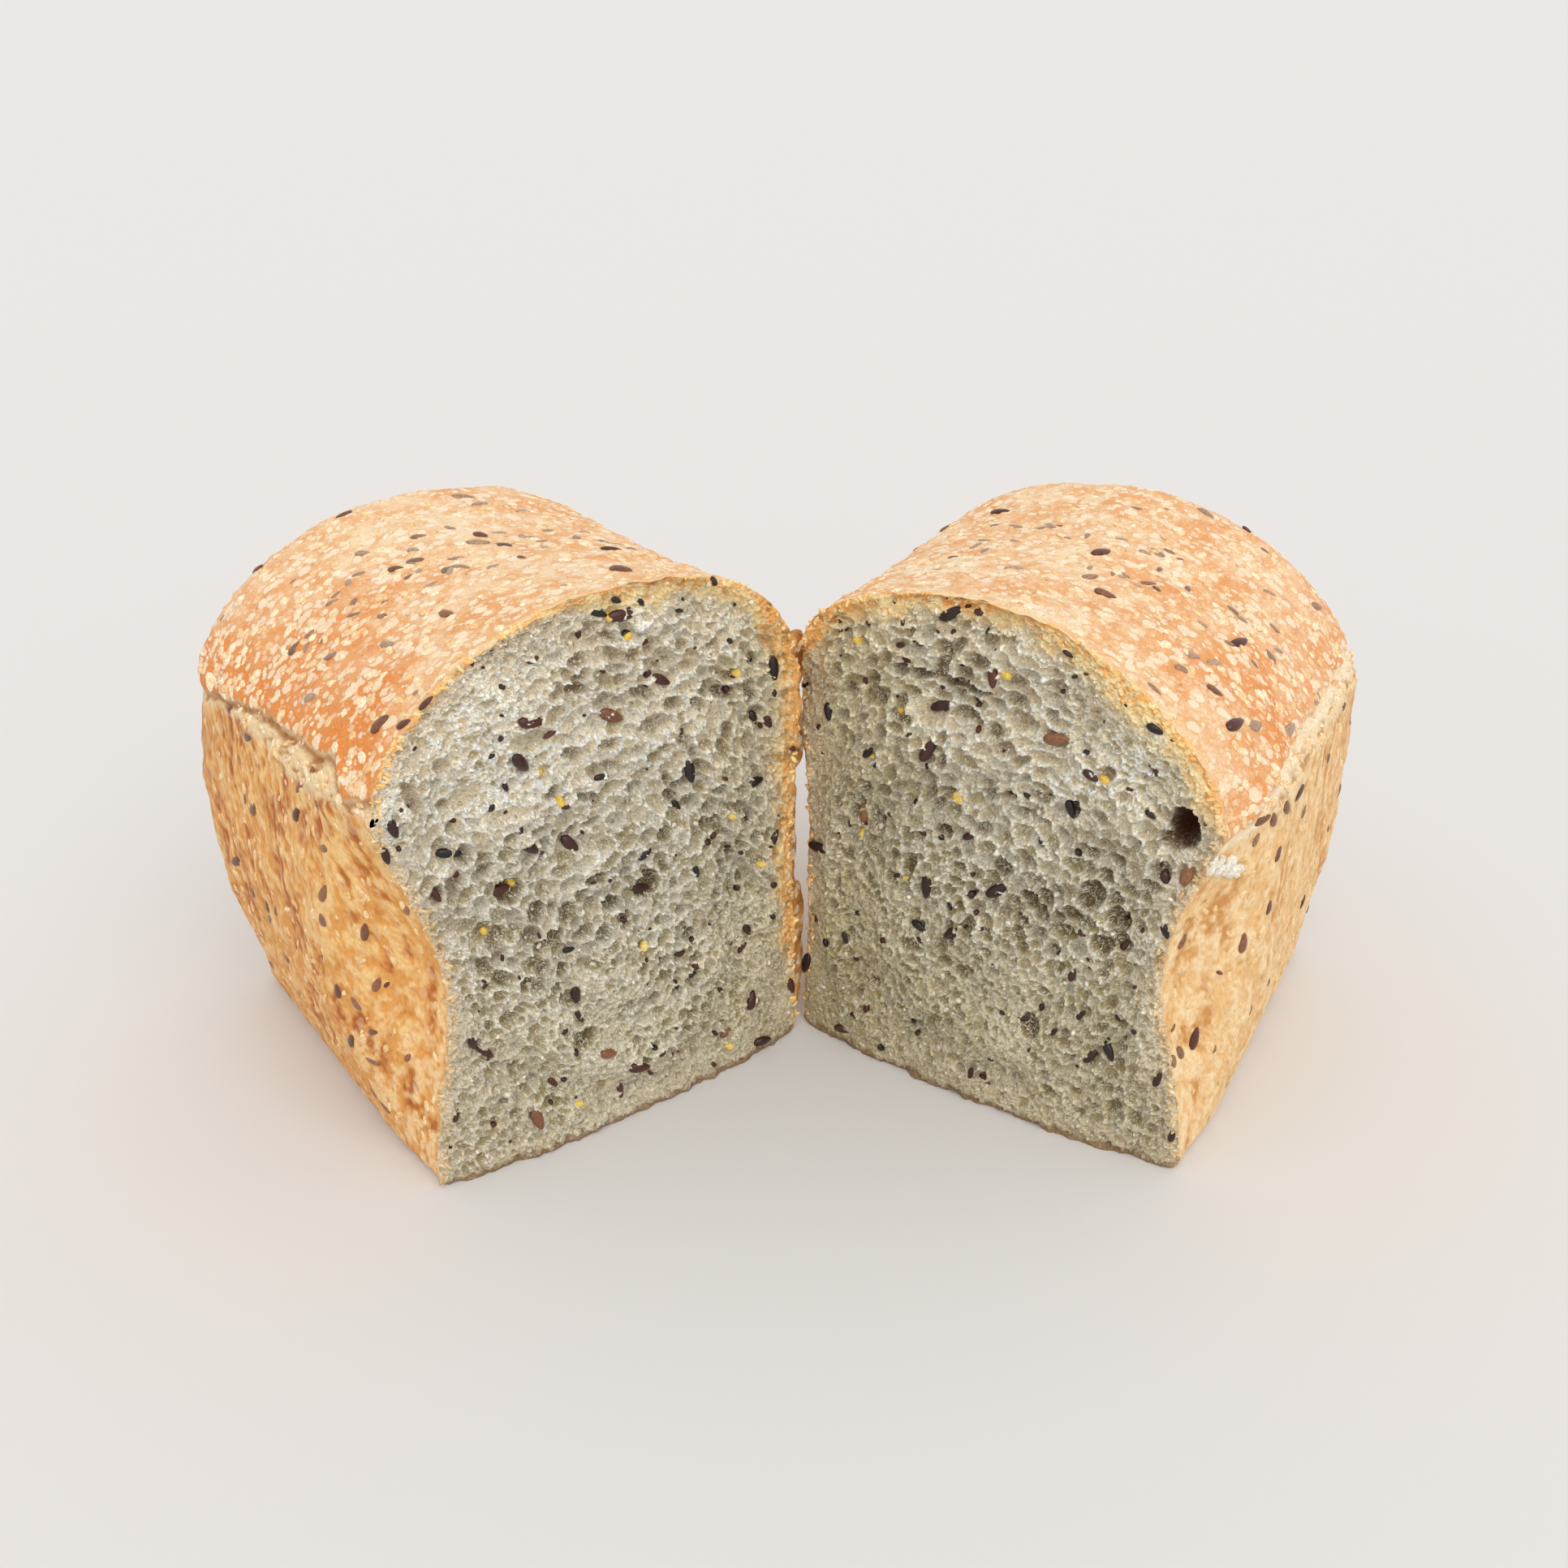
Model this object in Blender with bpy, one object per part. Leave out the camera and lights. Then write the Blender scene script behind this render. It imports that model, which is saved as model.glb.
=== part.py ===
"""A multigrain tin loaf, torn open across its middle like a book.

The two halves stand on their flat undersides and are still joined by a strip of
back crust. Lengths in the tables below are millimetres and angles are degrees.
Each half is described in its own directions: "across" runs along its torn face
from the hinge to the outer crust, "deep" runs from the torn face to the far end
of the half, and "high" is straight up.
"""
import math

import bmesh
import bpy
import numpy as np
from mathutils import Vector

for old in list(bpy.data.objects):
    bpy.data.objects.remove(old, do_unlink=True)

MM = 0.001

# The two halves. "hinge" is where the torn face meets the back crust, seen from
# above, and "turn" is how far the face is swung towards the viewer.
LEFT = {
    "hand": -1,
    "hinge": (2.8, -15.0),
    "turn": 36.6,
    "width": 88.3,
    "length": 90.5,
    "wall_lean": 0.074,
    "end_lean": 0.050,
    "face_top": 116.7,
    "back_top": 111.4,
    "spring_outer": 82.6,
    "spring_hinge": 79.3,
    "crest_share": 0.546,
    "dome_outer": 1.72,
    "dome_hinge": 2.50,
    "waist_outer": 9.8,
    "waist_spread": 30.1,
    "wall_bow": 5.8,
    "end_bow": 5.8,
    "face_bow": 3.9,
    "tin_rim": 84.1,
    "wall_corner": 19.0,
    "dome_corner": 14.0,
    "skew": 0.8,
    "pattern": 0.0,
}
RIGHT = {
    "hand": 1,
    "hinge": (4.4, -11.2),
    "turn": 34.2,
    "width": 91.7,
    "length": 91.4,
    "wall_lean": 0.050,
    "end_lean": 0.053,
    "face_top": 111.6,
    "back_top": 107.7,
    "spring_outer": 75.4,
    "spring_hinge": 90.5,
    "crest_share": 0.469,
    "dome_outer": 1.72,
    "dome_hinge": 1.91,
    "waist_outer": 12.1,
    "waist_spread": 32.2,
    "wall_bow": 2.9,
    "end_bow": 3.1,
    "face_bow": 4.4,
    "tin_rim": 77.5,
    "wall_corner": 16.5,
    "dome_corner": 11.0,
    "skew": 5.4,
    "pattern": 2.4,
}

# Forms that both halves share.
WAIST_HIGH = 47.6
WAIST_DEEP = 10.9
WAIST_HINGE = 2.4
HINGE_LEAN = 0.02
LEVEL_DEEP = 45.0
FOOT_ROUND = 3.0
FOOT_CORNER = 4.0
FOOT_CORNER_HIGH = 14.0
DOME_CORNER_RISE = 30.0

# Relief.
CRUST_LUMP = 0.55
RIM_BAND = 0.9
RIM_BAND_HALF = 3.5
CRUMB_LUMP = 0.9
CRUMB_EDGE = 0.10

# Burst bubbles of the crumb: across, high, width, height, depth.
LEFT_BUBBLES = (
    (68, 62, 8.0, 7.0, 3.6),
    (39, 54, 9.0, 8.5, 3.8),
    (36, 88, 10.0, 5.5, 2.6),
    (55, 25, 8.5, 6.5, 2.8),
    (82, 86, 6.5, 10.0, 2.6),
)
RIGHT_BUBBLES = (
    (36, 94, 20.0, 5.0, 3.4),
    (81, 76, 8.0, 11.5, 4.6),
    (61, 75, 6.5, 6.5, 2.8),
    (67, 58, 7.5, 8.5, 3.2),
    (57, 24, 7.0, 7.0, 2.6),
)

# Strips of back crust that still join the halves, and a flap that hangs on the
# left one: lowest point, highest point, and where each starts and ends on the way
# from the left hinge (0) to the right one (1).
HINGE_STRIPS = (
    (4.0, 36.5, -0.6, 1.6),
    (33.0, 67.0, -0.6, 0.45),
    (64.5, 78.0, -0.6, 1.6),
    (82.5, 95.0, -0.6, 1.6),
)
STRIP_BACK = 1.9
STRIP_THICK = 3.4
STRIP_SIDES = 8
STRIP_LEVELS = 5

# Number of points of the lofts.
WALL_HEIGHTS = (0.0, 0.012, 0.04, 0.13, 0.25, 0.37, 0.49, 0.61, 0.73, 0.85, 0.94, 1.0)
DOME_ROWS = 13
FACE_COLUMNS = 21
END_COLUMNS = 8
FRONT_DEEP = (0.0, 3.0, 8.0, 15.0, 26.0, 39.0, 52.0, 64.0)
CORNER_STEPS = 6

# Flax seeds baked into the crust and the crumb.
SEED_LONG = 4.9
SEED_WIDE = 2.5
SEED_THICK = 1.5
SEED_RING = 6
SEED_SHOULDER = 0.24
SEED_PROUD = 0.18
SEED_LOWEST = 7.0
CRUST_SEEDS = 27
HINGE_SIDE_SEEDS = 8
END_SEEDS = 8
CRUMB_SEEDS = 15
SEED_SPACING = 9.0
RANDOM_SEED = 12


def blend(value, start, end):
    """Smooth step from 0 at start to 1 at end."""
    share = np.clip((value - start) / (end - start), 0, 1)
    return share * share * (3 - 2 * share)


def crest_high(half, deep):
    """Height of the dome's crest, which settles from the torn face backwards."""
    share = np.sin(0.5 * np.pi * np.clip(deep / LEVEL_DEEP, 0, 1))
    return half["face_top"] + (half["back_top"] - half["face_top"]) * share


def side_profile(half, outer, row, deep):
    """Across and height of one side of the loaf.

    Row 0 to 1 climbs the wall and row 1 to 2 goes over the dome to the crest.
    The wall leans out, bows between foot and tin rim, and is drawn in at a waist
    beside the torn face. The dome is a superellipse quarter.
    """
    row, deep = np.broadcast_arrays(np.asarray(row, float), np.asarray(deep, float))
    spring = half["spring_outer"] if outer else half["spring_hinge"]
    waist = half["waist_outer"] if outer else WAIST_HINGE
    lean = half["wall_lean"] if outer else HINGE_LEAN
    power = half["dome_outer"] if outer else half["dome_hinge"]
    high = spring * np.clip(row, 0, 1)
    near = np.exp(-((deep / WAIST_DEEP) ** 2))
    swell = lean * high
    swell = swell - waist * near * np.exp(-(((high - WAIST_HIGH) / half["waist_spread"]) ** 2))
    swell = swell + half["wall_bow"] * (1 - near) * np.sin(np.pi * np.clip(high / half["tin_rim"], 0, 1))
    foot = np.clip(1 - high / FOOT_ROUND, 0, 1)
    swell = swell - FOOT_ROUND * (1 - np.sqrt(np.clip(1 - foot * foot, 0, 1)))
    edge = half["width"] + swell if outer else -swell
    crest = half["width"] * half["crest_share"]
    turn = 0.5 * np.pi * np.clip(row - 1, 0, 1)
    across = crest + (edge - crest) * np.clip(np.cos(turn), 0, 1) ** (2 / power)
    high = high + (crest_high(half, deep) - spring) * np.sin(turn) ** (2 / power)
    return across, high


def crust_relief(half, across, high, deep):
    """Height of the crust's lumps and of the ragged band at the tin's rim."""
    tone = half["pattern"]
    lumps = np.sin(0.31 * across + 0.17 * deep + tone)
    lumps = lumps * np.sin(0.23 * high - 0.29 * deep + 1.3 * tone)
    lumps = lumps + 0.6 * np.sin(0.52 * deep + 0.41 * high + tone) * np.sin(0.47 * across - tone)
    ragged = half["tin_rim"] + 1.6 * np.sin(0.35 * deep + tone) + 0.9 * np.sin(0.83 * deep)
    band = np.exp(-(((high - ragged) / RIM_BAND_HALF) ** 2))
    calm = blend(deep, 1.0, 7.0) * blend(high, 2.0, 10.0)
    return calm * (CRUST_LUMP * lumps + RIM_BAND * band)


def bend(half, across, high, deep, relief=0.0):
    """Round the far end, push the surface out by its relief, then lean and skew the half."""
    rim = half["tin_rim"]
    corner = FOOT_CORNER + (half["wall_corner"] - FOOT_CORNER) * blend(high, 0, FOOT_CORNER_HIGH)
    rise = blend(high, rim, rim + DOME_CORNER_RISE)
    corner = corner + (half["dome_corner"] - half["wall_corner"]) * rise
    past = np.clip(deep - (half["length"] - corner), 0, corner)
    pull = corner - np.sqrt(np.clip(corner * corner - past * past, 0, None)) - relief
    out_across = across - half["width"] / 2
    out_high = high - rim / 2
    reach = np.maximum(np.hypot(out_across, out_high), 1e-6)
    across = across - out_across / reach * pull
    high = high - np.maximum(out_high, 0) / reach * pull
    share = deep / half["length"]
    climb = np.clip(high, 0, rim)
    middle = np.clip(1 - (2 * across / half["width"] - 1) ** 2, 0, 1)
    deep = deep + share * half["end_lean"] * climb
    deep = deep + half["end_bow"] * share**2 * np.sin(np.pi * climb / rim)
    deep = deep - half["face_bow"] * middle * np.clip(1 - share, 0, 1) ** 3
    across = across - math.tan(math.radians(half["skew"])) * deep
    return np.stack([across, deep, high], axis=-1)


def crumb_relief(half, across, high):
    """How far the torn crumb stands out: soft lumps that follow the dome, less the burst bubbles."""
    tone = half["pattern"]
    radius = np.hypot(across - 0.5 * half["width"], 0.9 * (high - 40.0))
    lumps = np.sin(0.36 * radius + 0.7 * np.sin(0.13 * across + tone))
    lumps = lumps + 0.8 * np.sin(0.27 * across - 0.19 * high + tone) * np.sin(0.24 * high + tone)
    out = CRUMB_LUMP * lumps
    bubbles = LEFT_BUBBLES if half is LEFT else RIGHT_BUBBLES
    for bubble_across, bubble_high, wide, tall, deep in bubbles:
        off = ((across - bubble_across) / (0.5 * wide)) ** 2 + ((high - bubble_high) / (0.5 * tall)) ** 2
        out = out - deep * np.exp(-off)
    return out


def wall_point(half, outer, row, deep):
    """A point of the outer or hinge-side crust, in the half's own directions."""
    across, high = side_profile(half, outer, row, deep)
    return bend(half, across, high, np.broadcast_to(deep, high.shape), crust_relief(half, across, high, deep))


def face_point(half, row, share):
    """A point of the torn face: a chord from hinge side to outer side, with the crumb's relief."""
    row, share = np.broadcast_arrays(np.asarray(row, float), np.asarray(share, float))
    hinge_across, hinge_high = side_profile(half, False, row, 0.0)
    outer_across, outer_high = side_profile(half, True, row, 0.0)
    across = hinge_across + (outer_across - hinge_across) * share
    high = hinge_high + (outer_high - hinge_high) * share
    points = bend(half, across, high, np.zeros(across.shape))
    inside = blend(share, 0, CRUMB_EDGE) * blend(1 - share, 0, CRUMB_EDGE)
    inside = inside * blend(row, 0, 0.12) * blend(2 - row, 0, 0.30)
    points[..., 1] -= inside * crumb_relief(half, across, high)
    return points


def end_point(half, row, share):
    """A point of the far end, a plain crust between the two rounded corners."""
    row, share = np.broadcast_arrays(np.asarray(row, float), np.asarray(share, float))
    hinge_side = wall_point(half, False, row, half["length"])
    outer_side = wall_point(half, True, row, half["length"])
    return hinge_side + (outer_side - hinge_side) * share[..., None]


def to_world(half, points):
    """Turn points of a half into metres of the whole loaf."""
    turn = math.radians(half["turn"])
    along = np.array([half["hand"] * math.cos(turn), -math.sin(turn), 0])
    back = np.array([half["hand"] * math.sin(turn), math.cos(turn), 0])
    start = np.array([*half["hinge"], 0])
    world = start + points[..., :1] * along + points[..., 1:2] * back
    return (world + points[..., 2:] * np.array([0, 0, 1.0])) * MM


def stations(half):
    """Depths of the loft's sections, close together where the far end rounds over."""
    angles = np.linspace(0, 0.5 * np.pi, CORNER_STEPS + 1)
    rounded = half["length"] - half["wall_corner"] * (1 - np.sin(angles))
    return np.concatenate([FRONT_DEEP, rounded])


def rows():
    """Row values of the wall and the dome."""
    return np.concatenate([WALL_HEIGHTS, 1 + np.linspace(0, 1, DOME_ROWS + 1)[1:]])


def add_patch(mesh, points):
    """Fill a grid of points with quads."""
    across, along = points.shape[:2]
    corners = [[mesh.verts.new(point) for point in line] for line in points]
    for i in range(across - 1):
        for j in range(along - 1):
            mesh.faces.new((corners[i][j], corners[i + 1][j], corners[i + 1][j + 1], corners[i][j + 1]))
    return corners


def new_object(name, mesh):
    """Put a bmesh into the scene as an object."""
    data = bpy.data.meshes.new(name)
    mesh.to_mesh(data)
    mesh.free()
    thing = bpy.data.objects.new(name, data)
    bpy.context.scene.collection.objects.link(thing)
    return thing


def make_half(name, half):
    """One half of the loaf: outer crust, hinge-side crust, torn face, far end and flat underside."""
    row = rows()[:, None]
    deep = stations(half)[None, :]
    outer = to_world(half, wall_point(half, True, row, deep))
    hinge = to_world(half, wall_point(half, False, row, deep))
    face = to_world(half, face_point(half, row, np.linspace(0, 1, FACE_COLUMNS + 1)[None, :]))
    end = to_world(half, end_point(half, row, np.linspace(0, 1, END_COLUMNS + 1)[None, :]))
    face[:, 0], face[:, -1] = hinge[:, 0], outer[:, 0]
    end[:, 0], end[:, -1] = hinge[:, -1], outer[:, -1]
    mesh = bmesh.new()
    for patch in (outer, hinge, face, end):
        add_patch(mesh, patch)
    foot = np.concatenate([face[0], outer[0, 1:], end[0, ::-1][1:], hinge[0, ::-1][1:-1]])
    mesh.faces.new([mesh.verts.new(point) for point in foot])
    bmesh.ops.remove_doubles(mesh, verts=mesh.verts, dist=0.001 * MM)
    bmesh.ops.recalc_face_normals(mesh, faces=mesh.faces)
    bmesh.ops.triangulate(mesh, faces=mesh.faces)
    return new_object(name, mesh)


def make_strip(name, low, high, start, end):
    """A strip of torn back crust: uneven oval sections stacked from low to high."""
    left, right = np.array(LEFT["hinge"]), np.array(RIGHT["hinge"])
    span = np.linalg.norm(right - left)
    across = (right - left) / span
    back = np.array([-across[1], across[0]])
    middle = left + (right - left) * 0.5 * (start + end) + back * STRIP_BACK
    sides = np.arange(STRIP_SIDES) * 2 * np.pi / STRIP_SIDES
    mesh = bmesh.new()
    rings = []
    for level in np.linspace(low, high, STRIP_LEVELS):
        wide = 0.5 * (end - start) * span * (0.95 + 0.05 * math.sin(level))
        thick = 0.5 * STRIP_THICK * (0.85 + 0.15 * math.cos(1.7 * level))
        spots = [middle + wide * math.cos(side) * across + thick * math.sin(side) * back for side in sides]
        rings.append([mesh.verts.new(Vector((*spot, level)) * MM) for spot in spots])
    for lower, upper in zip(rings, rings[1:]):
        for k in range(STRIP_SIDES):
            after = (k + 1) % STRIP_SIDES
            mesh.faces.new((lower[k], lower[after], upper[after], upper[k]))
    mesh.faces.new(rings[0])
    mesh.faces.new(rings[-1])
    bmesh.ops.recalc_face_normals(mesh, faces=mesh.faces)
    bmesh.ops.triangulate(mesh, faces=mesh.faces)
    return new_object(name, mesh)


def seed_frame(body, half, point_at, row, place, spin):
    """Place, long direction, side direction and outward direction of a seed lying on a facet of the body."""
    step = 0.01 * (1.0 if point_at in (face_point, end_point) else half["length"])
    ideal = to_world(half, point_at(half, row, place))
    along = to_world(half, point_at(half, row, place + step)) - ideal
    _, spot, out, _ = body.closest_point_on_mesh(Vector(ideal))
    spot, out = np.array(spot), np.array(out)
    along = along - out * np.dot(along, out)
    along = along / np.linalg.norm(along)
    side = np.cross(out, along)
    long_way = math.cos(spin) * along + math.sin(spin) * side
    return spot, long_way, np.cross(out, long_way), out


def make_seed(name, frame, size):
    """A flax seed: two pointed ends and two rings of points, half sunk into the surface."""
    spot, long_way, side_way, out = frame
    middle = spot + out * SEED_PROUD * SEED_THICK * MM
    mesh = bmesh.new()
    tips = [mesh.verts.new(middle + sign * 0.5 * size * SEED_LONG * MM * long_way) for sign in (-1, 1)]
    rings = []
    for sign in (-1, 1):
        centre = middle + sign * SEED_SHOULDER * size * SEED_LONG * MM * long_way
        turns = [2 * math.pi * k / SEED_RING for k in range(SEED_RING)]
        wide, thick = 0.5 * size * SEED_WIDE * MM, 0.5 * SEED_THICK * MM
        ring = [mesh.verts.new(centre + math.cos(t) * wide * side_way + math.sin(t) * thick * out) for t in turns]
        rings.append(ring)
    for k in range(SEED_RING):
        after = (k + 1) % SEED_RING
        mesh.faces.new((rings[0][k], rings[0][after], rings[1][after], rings[1][k]))
        mesh.faces.new((tips[0], rings[0][after], rings[0][k]))
        mesh.faces.new((tips[1], rings[1][k], rings[1][after]))
    bmesh.ops.recalc_face_normals(mesh, faces=mesh.faces)
    bmesh.ops.triangulate(mesh, faces=mesh.faces)
    return new_object(name, mesh)


def outer_point(half, row, deep):
    """A point of the outer crust."""
    return wall_point(half, True, row, deep)


def hinge_point(half, row, deep):
    """A point of the crust on the hinge's side."""
    return wall_point(half, False, row, deep)


def scatter_seeds(draw, body, half, point_at, count, row_range, place_range, taken):
    """Draw seeds evenly over one surface and keep them a spacing apart."""
    frames = []
    tries = 0
    while len(frames) < count and tries < 40 * count:
        tries += 1
        row = draw.uniform(*row_range)
        place = draw.uniform(*place_range)
        spin = draw.uniform(0, math.pi)
        frame = seed_frame(body, half, point_at, row, place, spin)
        clear = all(np.linalg.norm(frame[0] - other) > SEED_SPACING * MM for other in taken)
        if clear and frame[0][2] > SEED_LOWEST * MM:
            taken.append(frame[0])
            frames.append((frame, draw.uniform(0.85, 1.1)))
    return frames


def make_seeds(draw, body, half):
    """The flax seeds of one half: outer crust, hinge-side crust, far end and torn face."""
    taken = []
    deepest = half["length"] - half["dome_corner"]
    frames = scatter_seeds(draw, body, half, outer_point, CRUST_SEEDS, (0.1, 1.97), (4.0, deepest), taken)
    frames += scatter_seeds(draw, body, half, hinge_point, HINGE_SIDE_SEEDS, (0.2, 1.9), (14.0, deepest), taken)
    frames += scatter_seeds(draw, body, half, end_point, END_SEEDS, (0.1, 1.6), (0.1, 0.9), taken)
    frames += scatter_seeds(draw, body, half, face_point, CRUMB_SEEDS, (0.1, 1.75), (0.08, 0.92), taken)
    return [make_seed("seed", frame, size) for frame, size in frames]


def crust_material():
    """Baked crust, the colour of toasted flour."""
    material = bpy.data.materials.new("crust")
    material.use_nodes = True
    shader = material.node_tree.nodes["Principled BSDF"]
    shader.inputs["Base Color"].default_value = (0.66, 0.37, 0.15, 1)
    shader.inputs["Roughness"].default_value = 0.62
    shader.inputs["Metallic"].default_value = 0.0
    return material


def join_all(body, pieces):
    """Join the pieces to the body with one Boolean union and remove the pieces."""
    group = bpy.data.collections.new("joined")
    bpy.context.scene.collection.children.link(group)
    for piece in pieces:
        group.objects.link(piece)
        bpy.context.scene.collection.objects.unlink(piece)
    union = body.modifiers.new("union", "BOOLEAN")
    union.operation = "UNION"
    union.operand_type = "COLLECTION"
    union.collection = group
    union.solver = "EXACT"
    bpy.context.view_layer.update()
    evaluated = body.evaluated_get(bpy.context.evaluated_depsgraph_get())
    joined = bpy.data.meshes.new_from_object(evaluated)
    body.modifiers.clear()
    body.data = joined
    for piece in pieces:
        bpy.data.objects.remove(piece, do_unlink=True)
    bpy.data.collections.remove(group)


def build_loaf():
    """The whole loaf as one solid."""
    loaf = make_half("loaf", LEFT)
    other_half = make_half("right_half", RIGHT)
    bpy.context.view_layer.update()
    draw = np.random.default_rng(RANDOM_SEED)
    pieces = make_seeds(draw, loaf, LEFT) + make_seeds(draw, other_half, RIGHT)
    pieces += [other_half] + [make_strip("strip", *strip) for strip in HINGE_STRIPS]
    join_all(loaf, pieces)
    mesh = bmesh.new()
    mesh.from_mesh(loaf.data)
    bmesh.ops.remove_doubles(mesh, verts=mesh.verts, dist=0.002 * MM)
    bmesh.ops.dissolve_degenerate(mesh, edges=mesh.edges, dist=0.002 * MM)
    bmesh.ops.triangulate(mesh, faces=mesh.faces)
    mesh.to_mesh(loaf.data)
    mesh.free()
    loaf.data.name = "loaf"
    loaf.data.materials.clear()
    loaf.data.materials.append(crust_material())
    loaf.data.shade_smooth()
    loaf.data.set_sharp_from_angle(angle=math.radians(50))
    print("loaf:", len(loaf.data.polygons), "triangles")
    low = np.min([vertex.co for vertex in loaf.data.vertices], axis=0)
    high = np.max([vertex.co for vertex in loaf.data.vertices], axis=0)
    print("box in millimetres:", np.round(low / MM, 2), np.round(high / MM, 2))


build_loaf()
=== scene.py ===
# %% [markdown]
# # A multigrain tin loaf, torn open
#
# This lesson dresses a plain solid of a bread loaf. The loaf was baked in a tin,
# so it has straight walls below and a dome above, and it has been pulled apart
# across its middle like a book. Everything is made from numpy grids: a surface is
# a function of two parameters, worked out for the whole grid at once, and then
# handed to the mesh in one go. All the lengths below are millimetres until the
# last moment, when a surface becomes a mesh in metres.

# %% Load the frame
import math

import bpy
import numpy as np
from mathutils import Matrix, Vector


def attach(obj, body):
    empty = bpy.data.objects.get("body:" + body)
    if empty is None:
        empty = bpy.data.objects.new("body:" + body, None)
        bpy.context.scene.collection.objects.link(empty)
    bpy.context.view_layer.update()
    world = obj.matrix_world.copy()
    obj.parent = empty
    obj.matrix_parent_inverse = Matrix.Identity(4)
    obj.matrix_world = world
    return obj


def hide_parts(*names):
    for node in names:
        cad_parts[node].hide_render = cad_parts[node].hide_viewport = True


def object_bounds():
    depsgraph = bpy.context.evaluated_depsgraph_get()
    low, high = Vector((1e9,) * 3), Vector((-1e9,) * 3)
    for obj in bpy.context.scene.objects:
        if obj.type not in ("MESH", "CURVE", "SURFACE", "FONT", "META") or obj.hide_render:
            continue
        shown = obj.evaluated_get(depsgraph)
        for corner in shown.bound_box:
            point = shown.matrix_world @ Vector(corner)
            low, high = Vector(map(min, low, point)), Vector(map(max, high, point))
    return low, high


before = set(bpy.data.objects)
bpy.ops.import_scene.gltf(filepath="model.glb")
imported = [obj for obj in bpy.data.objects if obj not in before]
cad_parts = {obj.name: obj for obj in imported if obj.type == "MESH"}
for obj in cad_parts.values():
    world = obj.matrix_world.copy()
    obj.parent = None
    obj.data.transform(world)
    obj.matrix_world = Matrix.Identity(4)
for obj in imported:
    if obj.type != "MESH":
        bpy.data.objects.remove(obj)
cad_box = [list(corner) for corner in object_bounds()]
print("solid's box:", np.round(cad_box, 4).tolist())

MM = 0.001

# %% [markdown]
# ## Camera
#
# The loaf is looked at from close by and a little above, as someone who sits in
# front of it would see it. A camera with a short distance makes the near corners
# swell, so its place and tilt matter as much as its lens. The projection is also
# written out as a formula, because seeds that stand out in the picture are laid
# where a point of the image meets the bread.

# %% Camera at the viewing angle of the picture
IMAGE_SIDE = 1932
FOCAL_PIXELS = 2000.0
CAMERA_PLACE = np.array([0.1, -311.7, 220.0])
CAMERA_DOWN = math.radians(28)
SENSOR = 36.0

camera_data = bpy.data.cameras.new("camera")
camera_data.sensor_width = SENSOR
camera_data.lens = SENSOR * FOCAL_PIXELS / IMAGE_SIDE
camera = bpy.data.objects.new("camera", camera_data)
camera.location = CAMERA_PLACE * MM
camera.rotation_euler = (math.pi / 2 - CAMERA_DOWN, 0, 0)
bpy.context.scene.collection.objects.link(camera)
bpy.context.scene.camera = camera


def pixels(points):
    """Image position of points: distances right and down, divided by the distance ahead."""
    away = points - CAMERA_PLACE
    ahead = away[..., 1] * math.cos(CAMERA_DOWN) - away[..., 2] * math.sin(CAMERA_DOWN)
    down = -away[..., 2] * math.cos(CAMERA_DOWN) - away[..., 1] * math.sin(CAMERA_DOWN)
    flat = np.stack([away[..., 0], down], axis=-1) / ahead[..., None]
    return IMAGE_SIDE / 2 + FOCAL_PIXELS * flat


# %% [markdown]
# ## The two halves
#
# A half has its own directions. "Across" runs along the torn face from the hinge
# to the outer crust, "deep" runs from the torn face to the far end, and "high" is
# up. These are the same sizes and the same formulas as the solid's, so that the
# fine surface lies exactly where the solid is.

# %% Sizes of the halves
LEFT = {
    "name": "left", "hand": -1, "hinge": (2.8, -15.0), "turn": 36.6,
    "width": 88.3, "length": 90.5, "wall_lean": 0.074, "end_lean": 0.050,
    "face_top": 116.7, "back_top": 111.4, "spring_outer": 82.6, "spring_hinge": 79.3,
    "crest_share": 0.546, "dome_outer": 1.72, "dome_hinge": 2.50,
    "waist_outer": 9.8, "waist_spread": 30.1, "wall_bow": 5.8, "end_bow": 5.8,
    "face_bow": 3.9, "tin_rim": 84.1, "wall_corner": 19.0, "dome_corner": 14.0,
    "skew": 0.8, "pattern": 0.0,
    "lip_deep": (0, 3, 7, 12, 25, 40, 56, 73, 91),
    "lip_high": (88, 87, 85.5, 90.3, 89.8, 88.4, 86, 81.5, 80),
}
RIGHT = {
    "name": "right", "hand": 1, "hinge": (4.4, -11.2), "turn": 34.2,
    "width": 91.7, "length": 91.4, "wall_lean": 0.050, "end_lean": 0.053,
    "face_top": 111.6, "back_top": 107.7, "spring_outer": 75.4, "spring_hinge": 90.5,
    "crest_share": 0.469, "dome_outer": 1.72, "dome_hinge": 1.91,
    "waist_outer": 12.1, "waist_spread": 32.2, "wall_bow": 2.9, "end_bow": 3.1,
    "face_bow": 4.4, "tin_rim": 77.5, "wall_corner": 16.5, "dome_corner": 11.0,
    "skew": 5.4, "pattern": 2.4,
    "lip_deep": (0, 3, 8, 15, 34, 60, 92), "lip_high": (72.5, 74, 76.3, 80.6, 83, 82.8, 83),
}
WAIST_HIGH, WAIST_DEEP, WAIST_HINGE = 47.6, 10.9, 2.4
HINGE_LEAN = 0.02
LEVEL_DEEP = 45.0
FOOT_ROUND = 3.0
FOOT_CORNER, FOOT_CORNER_HIGH = 4.0, 14.0
DOME_CORNER_RISE = 30.0
CRUST_LUMP = 0.25
RIM_BAND, RIM_BAND_HALF = 0.9, 3.5
CRUMB_LUMP, CRUMB_EDGE = 0.9, 0.10


# %% Formulas of the halves
def blend(value, start, end):
    """Smooth step from 0 at start to 1 at end."""
    share = np.clip((value - start) / (end - start), 0, 1)
    return share * share * (3 - 2 * share)


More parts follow.
